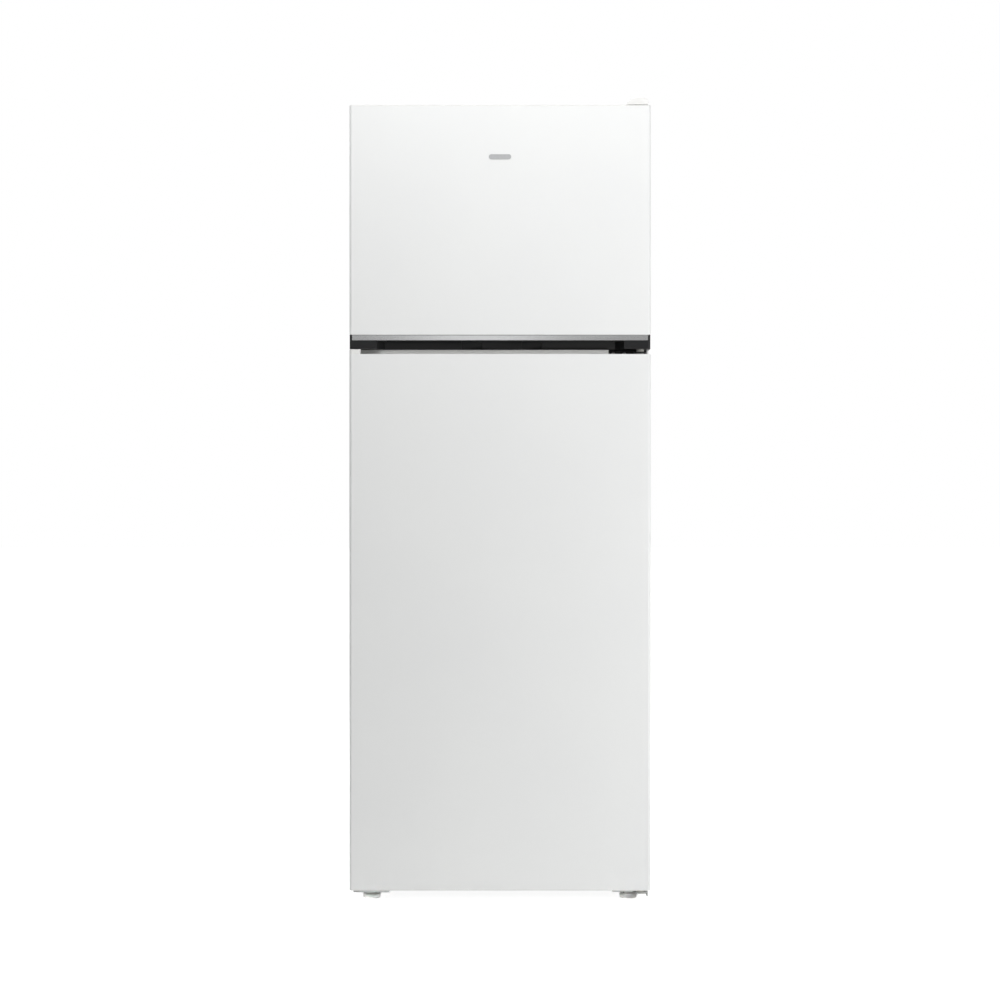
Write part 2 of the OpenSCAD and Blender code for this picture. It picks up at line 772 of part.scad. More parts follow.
// Ring that stands up from the door's inner face into the compartment
module dyke(half, z, inset) {
    y = [door_back - 0.5, door_back + dyke_d - inset];
    difference() {
        wide(half - inset, y, [z[0] + inset, z[1] - inset]);
        wide(half - dyke_w + inset, [y[0] - eps, y[1] + eps],
             [z[0] + dyke_w - inset, z[1] - dyke_w + inset]);
    }
}

// Vacuum-formed inner panel with its ring, and hooks that the racks hang on
module door_liner(half, panel_z, ring_z, rack_levels) {
    difference() {
        union() {
            wide(return_half, [door_back - door_liner_t, door_back], panel_z);
            dyke(half, ring_z, 0);
        }
        translate([0, -0.5 - door_liner_t, 0]) dyke(half, ring_z, door_liner_t);
        dyke(half, ring_z, door_liner_t);
    }
    hook_x = half - dyke_w;
    for (side = [0, 1]) mirror([side, 0, 0]) for (z = rack_levels)
        span([hook_x - 5, hook_x + 0.5], [door_back - 0.5, door_back + 36], [z + 24, z + 40]);
}

module door_foam(half, z, ring_z) {
    difference() {
        union() {
            door_solid(skin_t, door_back - door_liner_t, z);
            translate([0, -0.5 - door_liner_t, 0]) dyke(half, ring_z, door_liner_t);
            dyke(half, ring_z, door_liner_t);
        }
        for (side = [0, 1]) mirror([side, 0, 0])
            span([return_half, door_w / 2], [door_back - skin_t, door_back + eps],
                 [z[0] - eps, z[1] + eps]);
    }
}

module gasket(z) {
    y = [door_back, cab_front - 0.3];
    difference() {
        wide(gasket_half, y, z);
        wide(gasket_half - gasket_w, [y[0] - eps, y[1] + eps], [z[0] + gasket_w, z[1] - gasket_w]);
    }
}

// Door rack: open tray with a lug at each end that rests on the liner's hook
module rack(half, z, h) {
    y = [door_back + 1, door_back + rack_d];
    difference() {
        wide(half, y, [z, z + h]);
        wide(half - bin_t, [y[0] + bin_t, y[1] - bin_t], [z + bin_t, z + h + eps]);
    }
    for (side = [0, 1]) mirror([side, 0, 0])
        span([half - 0.5, half + 5], [y[0], y[0] + 34], [z + 40, z + 45]);
}

freezer_ring = [1346, 1782];
freezer_panel_z = [freezer_face_bottom, door_top - 2 - cap_plug];
fridge_ring = [90, 1226];
fridge_panel_z = [door_bottom + cap_plug + 2, fridge_face_top - 30];

module freezer_door_skin() {
    color("white") door_skin([freezer_face_bottom, door_top - 2]);
}
module freezer_door_foam() {
    color("khaki") door_foam(freezer_dyke_half, freezer_panel_z, freezer_ring);
}
module freezer_door_liner() {
    color("whitesmoke") door_liner(freezer_dyke_half, freezer_panel_z, freezer_ring,
                                   freezer_rack_levels);
}

// Cap that plugs a skin's end: a full outline lip and a plug between the skin's walls
module end_cap(lip, plug) {
    door_solid(0, door_back, lip);
    door_solid(skin_t, door_back - skin_t, plug);
    wide(return_half, [door_back - skin_t - 0.5, door_back], plug);
}

module freezer_door_cap() {
    color("white") difference() {
        end_cap([door_top - 2, door_top], [door_top - 2 - cap_plug, door_top - 2]);
        rod_z(hinge_x, hinge_y, [door_top - 19, door_top + eps], pin_r + pin_gap);
    }
}

// Black grip: a finger recess under and behind the silver trim, with ramped ends and two pockets
module freezer_handle() {
    z = [handle_bottom, freezer_face_bottom];
    trim_z = z[1] - trim_h;
    recess = [door_face + 8, door_face + scoop_d];
    color("black") difference() {
        door_solid(0.5, door_back, z);
        wide(344, [door_face - eps, door_face + 2], [trim_z, z[1] + eps]);
        translate([0, 0, z[0] - eps]) linear_extrude(trim_z - z[0] - 2 + eps) polygon([
            [scoop_x[0] - scoop_ramp[0], door_face - eps], [scoop_x[1] + scoop_ramp[1], door_face - eps],
            [scoop_x[1] + scoop_ramp[1], door_face + 2], [scoop_x[1], recess[1]],
            [scoop_x[0], recess[1]], [scoop_x[0] - scoop_ramp[0], door_face + 2]]);
        span([scoop_x[0] + 4, scoop_x[1] - 4], recess, [trim_z - 3, trim_z + 8]);
        for (x = grip_pocket_x)
            span([x - grip_pocket[0], x + grip_pocket[0]],
                 [recess[1] - eps, recess[1] + grip_pocket[1]], [z[0] - eps, trim_z - 2]);
        rod_z(hinge_x, hinge_y, [z[0] - eps, z[0] + 23], pin_r + pin_gap);
    }
}

module handle_trim() {
    color("silver") wide(343.6, [door_face, door_face + 2],
                         [freezer_face_bottom - trim_h, freezer_face_bottom]);
}

module freezer_gasket() {
    color("white") gasket([handle_bottom + 18, 1842]);
}

module freezer_racks() {
    color("aliceblue") for (z = freezer_rack_levels)
        rack(freezer_dyke_half - dyke_w - 6, z, 72);
}

// Plain pill-shaped badge
module emblem() {
    color("silver") translate([0, door_face, 1734]) rotate([90, 0, 0])
        linear_extrude(emblem_t) polygon(round_rect([-26, 26], [-6, 6], 5.9));
}

module fridge_door_skin() {
    color("white") door_skin([door_bottom + 2, fridge_face_top]);
}
module fridge_door_foam() {
    color("khaki") door_foam(fridge_dyke_half, fridge_panel_z, fridge_ring);
}
module fridge_door_liner() {
    color("whitesmoke") door_liner(fridge_dyke_half, fridge_panel_z, fridge_ring,
                                   fridge_rack_levels);
}

// Top cap with a finger trough behind its lip; it is lower at the right, under the hinge arm
module fridge_handle_cap() {
    rise = [fridge_face_top, handle_bottom - 1];
    color("white") difference() {
        union() {
            door_solid(skin_t, door_back - skin_t, [fridge_panel_z[1], fridge_face_top]);
            wide(return_half, [door_back - 2, door_back], [fridge_panel_z[1], fridge_face_top]);
            intersection() {
                door_solid(0, door_back, rise);
                union() {
                    span([-door_w, trough_x[1]], [trough_y[1], door_back], rise);
                    span([-door_w, trough_x[0]], [door_face - eps, door_back], rise);
                }
            }
        }
        span(trough_x, trough_y, [fridge_panel_z[1] + 4, rise[1] + eps]);
        rod_z(hinge_x, hinge_y, [fridge_face_top - 23, fridge_face_top + eps], pin_r + pin_gap);
    }
}

module fridge_door_base_cap() {
    color("white") difference() {
        end_cap([door_bottom, door_bottom + 2], [door_bottom + 2, door_bottom + 2 + cap_plug]);
        rod_z(hinge_x, hinge_y, [door_bottom - eps, door_bottom + 21], pin_r + pin_gap);
    }
}

module fridge_gasket() {
    color("white") gasket([44, 1266]);
}

module fridge_racks() {
    color("aliceblue") for (i = [0 : len(fridge_rack_levels) - 1])
        rack(fridge_dyke_half - dyke_w - 6, fridge_rack_levels[i], i == 0 ? 110 : 72);
}

outer_wrapper();
back_panel();
base_pan();
cabinet_foam();
freezer_liner();
fridge_liner();
mullion_rail();
evaporator_cover();
evaporator();
fan_motor();
freezer_shelf();
ice_maker_stand();
ice_bin();
air_duct();
control_box();
lamp_lens();
fridge_shelves();
shelf_trims();
crisper_cover();
crisper_frame();
top_hinge();
top_hinge_cover();
middle_hinge();
bottom_brackets();
hinge_screws();
hinge_washers();
compressor();
terminal_box();
evaporation_tray();
refrigerant_lines();
base_rail();
condenser_tube();
condenser_wires();
condenser_brackets();
cord_inlet();
evaporator_fan();
ice_tray();
thermostat_knob();
left_foot();
right_foot();
left_roller();
right_roller();
left_crisper();
right_crisper();
freezer_door_skin();
freezer_door_foam();
freezer_door_liner();
freezer_door_cap();
freezer_handle();
handle_trim();
freezer_gasket();
freezer_racks();
emblem();
fridge_door_skin();
fridge_door_foam();
fridge_door_liner();
fridge_handle_cap();
fridge_door_base_cap();
fridge_gasket();
fridge_racks();
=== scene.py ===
import json
import math
import bpy
import bmesh
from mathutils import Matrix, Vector


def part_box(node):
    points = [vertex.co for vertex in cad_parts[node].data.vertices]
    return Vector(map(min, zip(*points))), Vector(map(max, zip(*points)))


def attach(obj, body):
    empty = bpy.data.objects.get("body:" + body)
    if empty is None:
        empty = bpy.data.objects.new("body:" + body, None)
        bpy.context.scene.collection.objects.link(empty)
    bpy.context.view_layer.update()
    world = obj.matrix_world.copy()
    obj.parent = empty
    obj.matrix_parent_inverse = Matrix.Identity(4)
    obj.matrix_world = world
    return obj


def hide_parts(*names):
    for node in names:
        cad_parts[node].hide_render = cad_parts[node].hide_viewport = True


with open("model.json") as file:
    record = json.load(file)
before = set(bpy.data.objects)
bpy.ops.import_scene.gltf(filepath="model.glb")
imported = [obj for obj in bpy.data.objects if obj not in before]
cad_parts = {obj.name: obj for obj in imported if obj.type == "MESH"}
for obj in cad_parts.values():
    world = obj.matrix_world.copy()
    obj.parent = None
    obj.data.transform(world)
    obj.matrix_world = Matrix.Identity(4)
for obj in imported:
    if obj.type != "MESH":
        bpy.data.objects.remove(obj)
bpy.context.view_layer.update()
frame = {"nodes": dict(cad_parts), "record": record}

mm = 0.001
nodes = frame["nodes"]
record = frame["record"]
bodyOf = {n: body for body, members in record["behaviour"]["bodies"].items() for n in members}
slotOf = {s["node"]: s["material_slot"] for s in record["subparts"]}


# camera, floor and studio light; distances in metres
studio = {
    "lens": 85, "cameraDistance": 5.482, "cameraHeight": 0.937,
    "floorColour": "#f4f4f3", "floorGlow": 0.9, "ambient": 0.325,
    "lights": {  # power in watts, width and height, place and the point it faces, spread in degrees
        "key": (18.4, (1.6, 1.6), (1.7, -2.1, 2.7), (0, -0.3, 1.2), 180),
        "top": (33.2, (1.4, 1.4), (-0.3, -1.5, 3.3), (0, -0.3, 1.2), 180),
        "side": (13.6, (1.2, 1.2), (1.9, -1.5, 0.6), (0.1, -0.3, 0.5), 180),
        "strip": (0.9, (0.62, 0.62), (-0.1, -6.9, 1.76), (0, -0.3, 1.3), 180),
        "feet": (0.16, (0.9, 0.012), (0, -1.1, 0.012), (0, -0.3, -0.012), 5),
        "rear": (34, (2.0, 2.0), (-1.8, 2.8, 2.4), (0, 0.3, 0.8), 180),
    },
}


def linear(hexColour):  # sRGB hex to the linear colour that shaders take
    channels = [int(hexColour[i:i + 2], 16) / 255 for i in (1, 3, 5)]
    return [c / 12.92 if c <= 0.04045 else ((c + 0.055) / 1.055) ** 2.4 for c in channels] + [1.0]


def add(tree, kind, sockets=None, **settings):  # one node with its settings, values and links
    node = tree.nodes.new(kind)
    for name, value in settings.items():
        setattr(node, name, value)
    for name, value in (sockets or {}).items():
        if isinstance(value, bpy.types.NodeSocket):
            tree.links.new(value, node.inputs[name])
        else:
            node.inputs[name].default_value = value
    return node


def link(thing):
    bpy.context.scene.collection.objects.link(thing)
    return thing


def softbox(name, power, size, at, target, spread):
    lamp = bpy.data.lights.new(name, "AREA")
    lamp.energy, lamp.shape, lamp.spread = power, "RECTANGLE", math.radians(spread)
    lamp.size, lamp.size_y = size
    thing = link(bpy.data.objects.new(name, lamp))
    thing.location = at
    thing.rotation_euler = (Vector(target) - Vector(at)).to_track_quat("-Z", "Y").to_euler()


def setStage():
    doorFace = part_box("fridge_door_skin")[0].y
    lens = bpy.data.cameras.new("camera")
    lens.lens, lens.sensor_width = studio["lens"], 36
    eye = link(bpy.data.objects.new("camera", lens))
    eye.location = (0, doorFace - studio["cameraDistance"], studio["cameraHeight"])
    eye.rotation_euler = (math.pi / 2, 0, 0)
    bpy.context.scene.camera = eye
    bpy.context.scene.view_settings.view_transform = "Standard"

    for name, light in studio["lights"].items():
        softbox(name, *light)

    world = bpy.data.worlds.new("studio air")
    world.use_nodes = True
    world.node_tree.nodes.clear()
    tree = world.node_tree
    seen = add(tree, "ShaderNodeLightPath").outputs["Is Camera Ray"]
    air = add(tree, "ShaderNodeBackground", {"Color": linear("#ffffff"), "Strength": studio["ambient"]})
    backdrop = add(tree, "ShaderNodeBackground", {"Color": linear("#ffffff"), "Strength": 1.0})
    both = add(tree, "ShaderNodeMixShader", {0: seen, 1: air.outputs[0], 2: backdrop.outputs[0]})
    add(tree, "ShaderNodeOutputWorld", {"Surface": both.outputs[0]})
    bpy.context.scene.world = world

    paper = bpy.data.materials.new("matt studio paper")
    paper.use_nodes = True
    tree = paper.node_tree
    shader = tree.nodes["Principled BSDF"]
    shader.inputs["Base Color"].default_value = linear(studio["floorColour"])
    shader.inputs["Roughness"].default_value = 0.9
    shader.inputs["Emission Color"].default_value = linear("#ffffff")
    direct = add(tree, "ShaderNodeLightPath").outputs["Is Camera Ray"]
    glow = add(tree, "ShaderNodeMath", {0: direct, 1: studio["floorGlow"]}, operation="MULTIPLY")
    tree.links.new(glow.outputs[0], shader.inputs["Emission Strength"])
    sheet = bmesh.new()
    bmesh.ops.create_grid(sheet, x_segments=2, y_segments=2, size=40)
    mesh = bpy.data.meshes.new("floor")
    sheet.to_mesh(mesh)
    mesh.materials.append(paper)
    link(bpy.data.objects.new("floor", mesh))
    print("stage set")


setStage()


# materials, each on object coordinates in metres
def startMaterial(name, sockets):
    material = bpy.data.materials.new(name)
    material.use_nodes = True
    tree = material.node_tree
    tree.nodes.clear()
    shader = add(tree, "ShaderNodeBsdfPrincipled", sockets)
    add(tree, "ShaderNodeOutputMaterial", {"Surface": shader.outputs[0]})
    place = add(tree, "ShaderNodeTexCoord").outputs["Object"]
    return material, tree, shader, place


def cloudyMaterial(name, sockets, tint=None, grain=None):  # drifting colour, and a fine relief
    material, tree, shader, place = startMaterial(name, sockets)
    if tint:
        drift = add(tree, "ShaderNodeTexNoise", {"Vector": place, "Scale": 1 / tint["size"],
                                                 "Detail": tint["detail"]})
        tone = add(tree, "ShaderNodeMix", {0: drift.outputs[0], 6: linear(tint["light"]),
                                           7: linear(tint["dark"])}, data_type="RGBA")
        tree.links.new(tone.outputs[2], shader.inputs["Base Color"])
    if grain:
        pits = add(tree, "ShaderNodeTexNoise", {"Vector": place, "Scale": 1 / grain["size"],
                                                "Detail": grain["detail"]})
        bump = add(tree, "ShaderNodeBump", {"Height": pits.outputs[0], "Strength": grain["strength"],
                                            "Distance": grain["relief"]})
        tree.links.new(bump.outputs[0], shader.inputs["Normal"])
    return material


# injection-moulded plastic with a spark-eroded grain: dulls the highlight and hides finger marks
def mouldedPlastic(name, light, dark, roughness, grain, relief):
    return cloudyMaterial(name, {"Roughness": roughness, "IOR": 1.53},
                          {"light": light, "dark": dark, "size": 70 * mm, "detail": 3.0},
                          {"size": grain, "detail": 2.0, "strength": 0.4, "relief": relief})


# dipped enamel over steel wire and sheet: semi-gloss, with a little dust on it
def dippedEnamel(name, light, dark, roughness):
    return cloudyMaterial(name, {"Roughness": roughness, "IOR": 1.5, "Coat Weight": 0.2,
                                 "Coat Roughness": 0.2},
                          {"light": light, "dark": dark, "size": 35 * mm, "detail": 5.0},
                          {"size": 2.5 * mm, "detail": 1.0, "strength": 0.3, "relief": 0.05 * mm})


# vacuum-formed HIPS sheet: glossy, a little wavy where it was drawn over the mould
def formedHips():
    look = {"white": "#eff2f3", "thin": "#e6ebee", "wave": 45 * mm, "relief": 0.25 * mm,
            "grain": 1.2 * mm, "grainRelief": 0.02 * mm}
    material, tree, shader, place = startMaterial("vacuum-formed HIPS", {
        "Roughness": 0.24, "IOR": 1.59, "Subsurface Weight": 0.04, "Subsurface Scale": 2 * mm})
    wave = add(tree, "ShaderNodeTexNoise", {"Vector": place, "Scale": 1 / look["wave"], "Detail": 1.0})
    tone = add(tree, "ShaderNodeMix", {0: wave.outputs[0], 6: linear(look["white"]),
                                       7: linear(look["thin"])}, data_type="RGBA")
    tree.links.new(tone.outputs[2], shader.inputs["Base Color"])
    grain = add(tree, "ShaderNodeTexNoise", {"Vector": place, "Scale": 1 / look["grain"],
                                             "Detail": 0.0})
    sag = add(tree, "ShaderNodeBump", {"Height": wave.outputs[0], "Strength": 0.3,
                                       "Distance": look["relief"]})
    fine = add(tree, "ShaderNodeBump", {"Height": grain.outputs[0], "Strength": 0.15,
                                        "Distance": look["grainRelief"], "Normal": sag.outputs[0]})
    tree.links.new(fine.outputs[0], shader.inputs["Normal"])
    return material


# anodised aluminium strip, brushed along its length: fine lines that soften a mirror-like metal
def brushedAluminium():
    look = {"metal": "#f6f7f7", "line": "#ecedee", "lineWidth": 0.6 * mm, "lineLength": 60 * mm,
            "relief": 0.01 * mm}
    material, tree, shader, place = startMaterial("brushed anodised aluminium", {
        "Metallic": 1.0, "Roughness": 0.17})
    stretch = add(tree, "ShaderNodeMapping", {
        "Vector": place,
        "Scale": (1 / look["lineLength"], 1 / look["lineWidth"], 1 / look["lineWidth"])})
    strokes = add(tree, "ShaderNodeTexNoise", {"Vector": stretch.outputs[0], "Scale": 1.0,
                                               "Detail": 3.0})
    tone = add(tree, "ShaderNodeMix", {0: strokes.outputs[0], 6: linear(look["metal"]),
                                       7: linear(look["line"])}, data_type="RGBA")
    tree.links.new(tone.outputs[2], shader.inputs["Base Color"])
    bump = add(tree, "ShaderNodeBump", {"Height": strokes.outputs[0], "Strength": 0.2,
                                        "Distance": look["relief"]})
    tree.links.new(bump.outputs[0], shader.inputs["Normal"])
    return material


# hot-dip galvanised sheet: zinc crystals a centimetre across, each a slightly different grey
def galvanisedSheet():
    look = {"light": "#c3c6c8", "dark": "#b4b8bb", "spangle": 9 * mm, "smooth": 0.4, "rough": 0.5}
    material, tree, shader, place = startMaterial("galvanised sheet", {"Metallic": 0.9})
    spangle = add(tree, "ShaderNodeTexVoronoi", {"Vector": place, "Scale": 1 / look["spangle"]})
    grey = add(tree, "ShaderNodeSeparateColor", {"Color": spangle.outputs["Color"]})
    tone = add(tree, "ShaderNodeMix", {0: grey.outputs[0], 6: linear(look["light"]),
                                       7: linear(look["dark"])}, data_type="RGBA")
    tree.links.new(tone.outputs[2], shader.inputs["Base Color"])
    gloss = add(tree, "ShaderNodeMapRange", {"Value": grey.outputs[1], "To Min": look["smooth"],
                                             "To Max": look["rough"]})
    tree.links.new(gloss.outputs[0], shader.inputs["Roughness"])
    return material


# rigid polyurethane foam: a dull straw colour with open cells
def cellFoam():
    look = {"straw": "#d8c48b", "pit": "#c2ab6c", "cell": 1.6 * mm, "relief": 0.6 * mm}
    material, tree, shader, place = startMaterial("rigid polyurethane foam", {"Roughness": 0.9})
    cells = add(tree, "ShaderNodeTexVoronoi", {"Vector": place, "Scale": 1 / look["cell"]})
    tone = add(tree, "ShaderNodeMix", {0: cells.outputs["Distance"], 6: linear(look["straw"]),
                                       7: linear(look["pit"])}, data_type="RGBA")
    tree.links.new(tone.outputs[2], shader.inputs["Base Color"])
    bump = add(tree, "ShaderNodeBump", {"Height": cells.outputs["Distance"], "Strength": 0.6,
                                        "Distance": look["relief"]})
    tree.links.new(bump.outputs[0], shader.inputs["Normal"])
    return material


looks = {
    # coil-coated steel, rolled on and baked: an even white with a faint orange peel
    "white_enamel": cloudyMaterial(
        "coil-coated white steel",
        {"Roughness": 0.42, "IOR": 1.5, "Coat Weight": 0.2, "Coat Roughness": 0.28},
        {"light": "#f1f2f1", "dark": "#edeeee", "size": 300 * mm, "detail": 2.0},
        {"size": 2.2 * mm, "detail": 1.0, "strength": 0.35, "relief": 0.03 * mm}),
    "galvanised": galvanisedSheet(),
    "foam": cellFoam(),
    "liner_white": formedHips(),
    "white_plastic": mouldedPlastic("white moulded ABS", "#f0f0ee", "#ebebe9", 0.36, 0.9 * mm,
                                    0.03 * mm),
    "black_plastic": mouldedPlastic("black moulded ABS", "#141516", "#1a1b1c", 0.30, 0.8 * mm,
                                    0.03 * mm),
    "grey_plastic": mouldedPlastic("pale grey moulded polypropylene", "#e4e3e1", "#d9d8d6", 0.5,
                                   0.8 * mm, 0.05 * mm),
    "nylon": mouldedPlastic("natural nylon", "#e6e5df", "#dddcd4", 0.45, 0.7 * mm, 0.02 * mm),
    "silver_trim": brushedAluminium(),
    # satin silver foil on a moulded badge: a bright soft grey with hardly any reflection
    "badge_foil": cloudyMaterial(
        "satin silver foil", {"Metallic": 0.35, "Roughness": 0.4},
        {"light": "#c9cacb", "dark": "#bcbdbf", "size": 4 * mm, "detail": 3.0},
        {"size": 0.5 * mm, "detail": 1.0, "strength": 0.2, "relief": 0.01 * mm}),
    # clear SAN, injection moulded: a cool tint, and flow lines that wobble what is behind it
    "clear_plastic": cloudyMaterial(
        "clear moulded SAN",
        {"Base Color": linear("#f3f8fa"), "Roughness": 0.05, "IOR": 1.5,
         "Transmission Weight": 0.9, "Alpha": 0.7},
        grain={"size": 30 * mm, "detail": 1.0, "strength": 0.2, "relief": 0.1 * mm}),
    # toughened float glass: almost colourless, with the roller wave of its tempering oven
    "shelf_glass": cloudyMaterial(
        "toughened float glass",
        {"Base Color": linear("#f4faf7"), "Roughness": 0.02, "IOR": 1.5,
         "Transmission Weight": 0.95, "Alpha": 0.45},
        grain={"size": 220 * mm, "detail": 0.0, "strength": 0.2, "relief": 0.12 * mm}),
    # frosted polycarbonate lamp lens: lets light through but no clear picture
    "lens": cloudyMaterial(
        "frosted polycarbonate",
        {"Base Color": linear("#f6f6ee"), "Roughness": 0.45, "IOR": 1.58,
         "Transmission Weight": 0.5},
        grain={"size": 0.9 * mm, "detail": 1.0, "strength": 0.3, "relief": 0.05 * mm}),
    # soft extruded PVC: matt, slightly greyed where dust clings
    "gasket": cloudyMaterial(
        "extruded soft PVC", {"Roughness": 0.62, "IOR": 1.5, "Sheen Weight": 0.08},
        {"light": "#e9e9e7", "dark": "#dededc", "size": 25 * mm, "detail": 4.0},
        {"size": 1.0 * mm, "detail": 1.0, "strength": 0.2, "relief": 0.03 * mm}),
    # mill-finish aluminium foil fins: a plain satin metal, clouded by handling
    "fin_aluminium": cloudyMaterial(
        "mill-finish aluminium", {"Metallic": 1.0, "Roughness": 0.35},
        {"light": "#cfd2d4", "dark": "#b2b6b9", "size": 18 * mm, "detail": 4.0}),
    "black_enamel": dippedEnamel("black dipped enamel", "#131314", "#1d1d1e", 0.38),
    "compressor_paint": dippedEnamel("black stove enamel", "#151516", "#232324", 0.32),
    # drawn copper pipe: bright in places, browned by brazing and air in others
    "copper": cloudyMaterial(
        "drawn copper", {"Metallic": 1.0, "Roughness": 0.36},
        {"light": "#c98a62", "dark": "#7c4a33", "size": 28 * mm, "detail": 5.0}),
    # bright zinc plating: a faint blue and yellow play over a satin steel
    "zinc": cloudyMaterial(
        "zinc-plated steel", {"Metallic": 1.0, "Roughness": 0.34},
        {"light": "#c3c7cc", "dark": "#b4b1a6", "size": 9 * mm, "detail": 3.0},
        {"size": 0.8 * mm, "detail": 1.0, "strength": 0.2, "relief": 0.02 * mm}),
}
print("materials:", len(looks))


# pieces that stand for CAD nodes

def finished(name, mesh, node, smoothAngle=32):  # rides, takes its finish, and shades by angle
    mesh.materials.clear()
    mesh.materials.append(looks[slotOf[node]])
    mesh.shade_smooth()
    mesh.set_sharp_from_angle(angle=math.radians(smoothAngle))
    piece = link(bpy.data.objects.new(name, mesh))
    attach(piece, bodyOf[node])
    return piece


def cleanShape(node):  # a merged copy of a node, flat faces joined again
    shape = bmesh.new()
    shape.from_mesh(nodes[node].data)
    bmesh.ops.remove_doubles(shape, verts=shape.verts, dist=2e-6)
    bmesh.ops.dissolve_limit(shape, angle_limit=math.radians(0.8), verts=shape.verts, edges=shape.edges)
    return shape


def toMesh(shape, name):
    mesh = bpy.data.meshes.new(name)
    shape.to_mesh(mesh)
    shape.free()
    return mesh


def softenEdges(piece, width, segments=2, angle=35):
    bevel = piece.modifiers.new("soft edges", "BEVEL")
    bevel.width, bevel.segments = width, segments
    bevel.limit_method, bevel.angle_limit = "ANGLE", math.radians(angle)
    bevel.harden_normals = True


edgeRadius = {  # in millimetres; sheet metal keeps crisp folds, mouldings are rounder
    "outer_wrapper": 0.35, "back_panel": 0.3, "base_pan": 0.35, "mullion_rail": 0.3,
    "evaporator_cover": 0.6, "freezer_shelf": 1.2, "ice_maker_stand": 0.9, "ice_bin": 0.8,
    "ice_tray": 0.7, "air_duct": 1.0, "control_box": 1.4, "lamp_lens": 0.6, "thermostat_knob": 1.1,
    "fridge_shelves": 1.2, "shelf_trims": 0.6, "crisper_cover": 1.2, "crisper_frame": 0.9,
    "left_crisper": 0.9, "right_crisper": 0.9, "top_hinge": 0.5, "top_hinge_cover": 0.9,
    "middle_hinge": 0.5, "bottom_brackets": 0.5, "hinge_washers": 0.3, "terminal_box": 1.6,
    "evaporation_tray": 0.8, "base_rail": 0.5, "condenser_brackets": 0.8, "cord_inlet": 0.8,
    "fan_motor": 0.9, "left_roller": 0.5, "right_roller": 0.5, "refrigerant_lines": 0.3,
    "freezer_door_skin": 0.3, "freezer_door_cap": 0.5, "freezer_handle": 0.7,
    "freezer_racks": 0.9, "emblem": 0.25, "fridge_door_skin": 0.3, "fridge_handle_cap": 0.8,
    "fridge_door_base_cap": 0.6, "fridge_racks": 0.9,
}


def softenedPieces():
    for node, radius in edgeRadius.items():
        piece = finished(node + "_fine", toMesh(cleanShape(node), node + "_fine"), node)
        if node == "crisper_cover":  # its underside stands just clear of the liner's step
            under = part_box(node)[0].z + 0.1 * mm
            for v in piece.data.vertices:
                if v.co.z < under:
                    v.co.z += 0.5 * mm
        softenEdges(piece, radius * mm)
        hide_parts(node)
        if node == "emblem":
            piece.data.materials[0] = looks["badge_foil"]
        if node == "base_pan":  # its front flange is painted with the cabinet
            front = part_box(node)[0].y + 1 * mm
            piece.data.materials.append(looks["white_enamel"])
            for face in piece.data.polygons:
                if face.center.y < front and face.normal.y < -0.9:
                    face.material_index = 1
    print("softened pieces:", len(edgeRadius))


softenedPieces()


# silver strip over the grip: a flat face with a chamfer along its top
trim = {"chamferHeight": 2.2 * mm, "chamferDepth": 0.5 * mm, "edge": 0.3 * mm}


def trimPiece():
    low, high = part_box("handle_trim")
    section = [(high.y, low.z), (low.y, low.z), (low.y, high.z - trim["chamferHeight"]),
               (low.y + trim["chamferDepth"], high.z), (high.y, high.z)]
    shape = bmesh.new()
    ends = [[shape.verts.new((x, y, z)) for y, z in section] for x in (low.x, high.x)]
    shape.faces.new(ends[0])
    shape.faces.new(ends[1])
    for k in range(len(section)):
        n = (k + 1) % len(section)
        shape.faces.new((ends[0][k], ends[0][n], ends[1][n], ends[1][k]))
    bmesh.ops.recalc_face_normals(shape, faces=shape.faces)
    piece = finished("handle_trim_fine", toMesh(shape, "handle_trim_fine"), "handle_trim", 5)
    softenEdges(piece, trim["edge"])
    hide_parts("handle_trim")


trimPiece()


# liners: the drawn sheet rounds every long inside corner
linerShape = {"floorRadius": 4 * mm, "ringRadius": 5 * mm, "segments": 5,
              "longEdge": 0.12, "ringEdge": 0.03, "foldAngle": 1.2}  # metres and radians


def roundCorners(shape, chosen, radius):
    edges = [e for e in shape.edges if chosen(e)]
    if edges:
        bmesh.ops.bevel(shape, geom=edges, offset=radius, offset_type="OFFSET", profile=0.5,
                        segments=linerShape["segments"], affect="EDGES", clamp_overlap=False)


def linerPiece(node):
    low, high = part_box(node)
    shape = cleanShape(node)
    bodyHigh = high.y - 2 * mm
    side = max(abs(v.co.x) for v in shape.verts if v.co.y > bodyHigh) - 2 * mm

    def cavityEdge(e):
        a, b = e.verts[0].co, e.verts[1].co
        mid = (a + b) / 2
        onSide = abs(abs(mid.x) - side) < 0.2 * mm
        long = e.calc_length() > linerShape["longEdge"]
        alongX = abs(a.x - b.x) > linerShape["longEdge"]
        inside = mid.y > low.y + 5 * mm and abs(mid.x) < side + 0.2 * mm
        inner = low.z + 8 * mm < mid.z < high.z - 6 * mm
        folded = e.calc_face_angle(0) > linerShape["foldAngle"]
        return long and inside and inner and (alongX or onSide) and folded

    roundCorners(shape, cavityEdge, linerShape["floorRadius"])
    piece = finished(node + "_fine", toMesh(shape, node + "_fine"), node)
    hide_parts(node)


def doorLinerPiece(node):
    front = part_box(node)[1].y
    shape = cleanShape(node)
    roundCorners(shape, lambda e: max(v.co.y for v in e.verts) > front - 0.1 * mm
                 and e.calc_length() > linerShape["ringEdge"]
                 and e.calc_face_angle(0) > linerShape["foldAngle"], linerShape["ringRadius"])
    piece = finished(node + "_fine", toMesh(shape, node + "_fine"), node)
    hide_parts(node)


for node in ("freezer_liner", "fridge_liner"):
    linerPiece(node)
for node in ("freezer_door_liner", "fridge_door_liner"):
    doorLinerPiece(node)
for node in ("cabinet_foam", "freezer_door_foam", "fridge_door_foam"):
    for holder in nodes[node].material_slots:
        holder.material = looks["foam"]
print("liners")


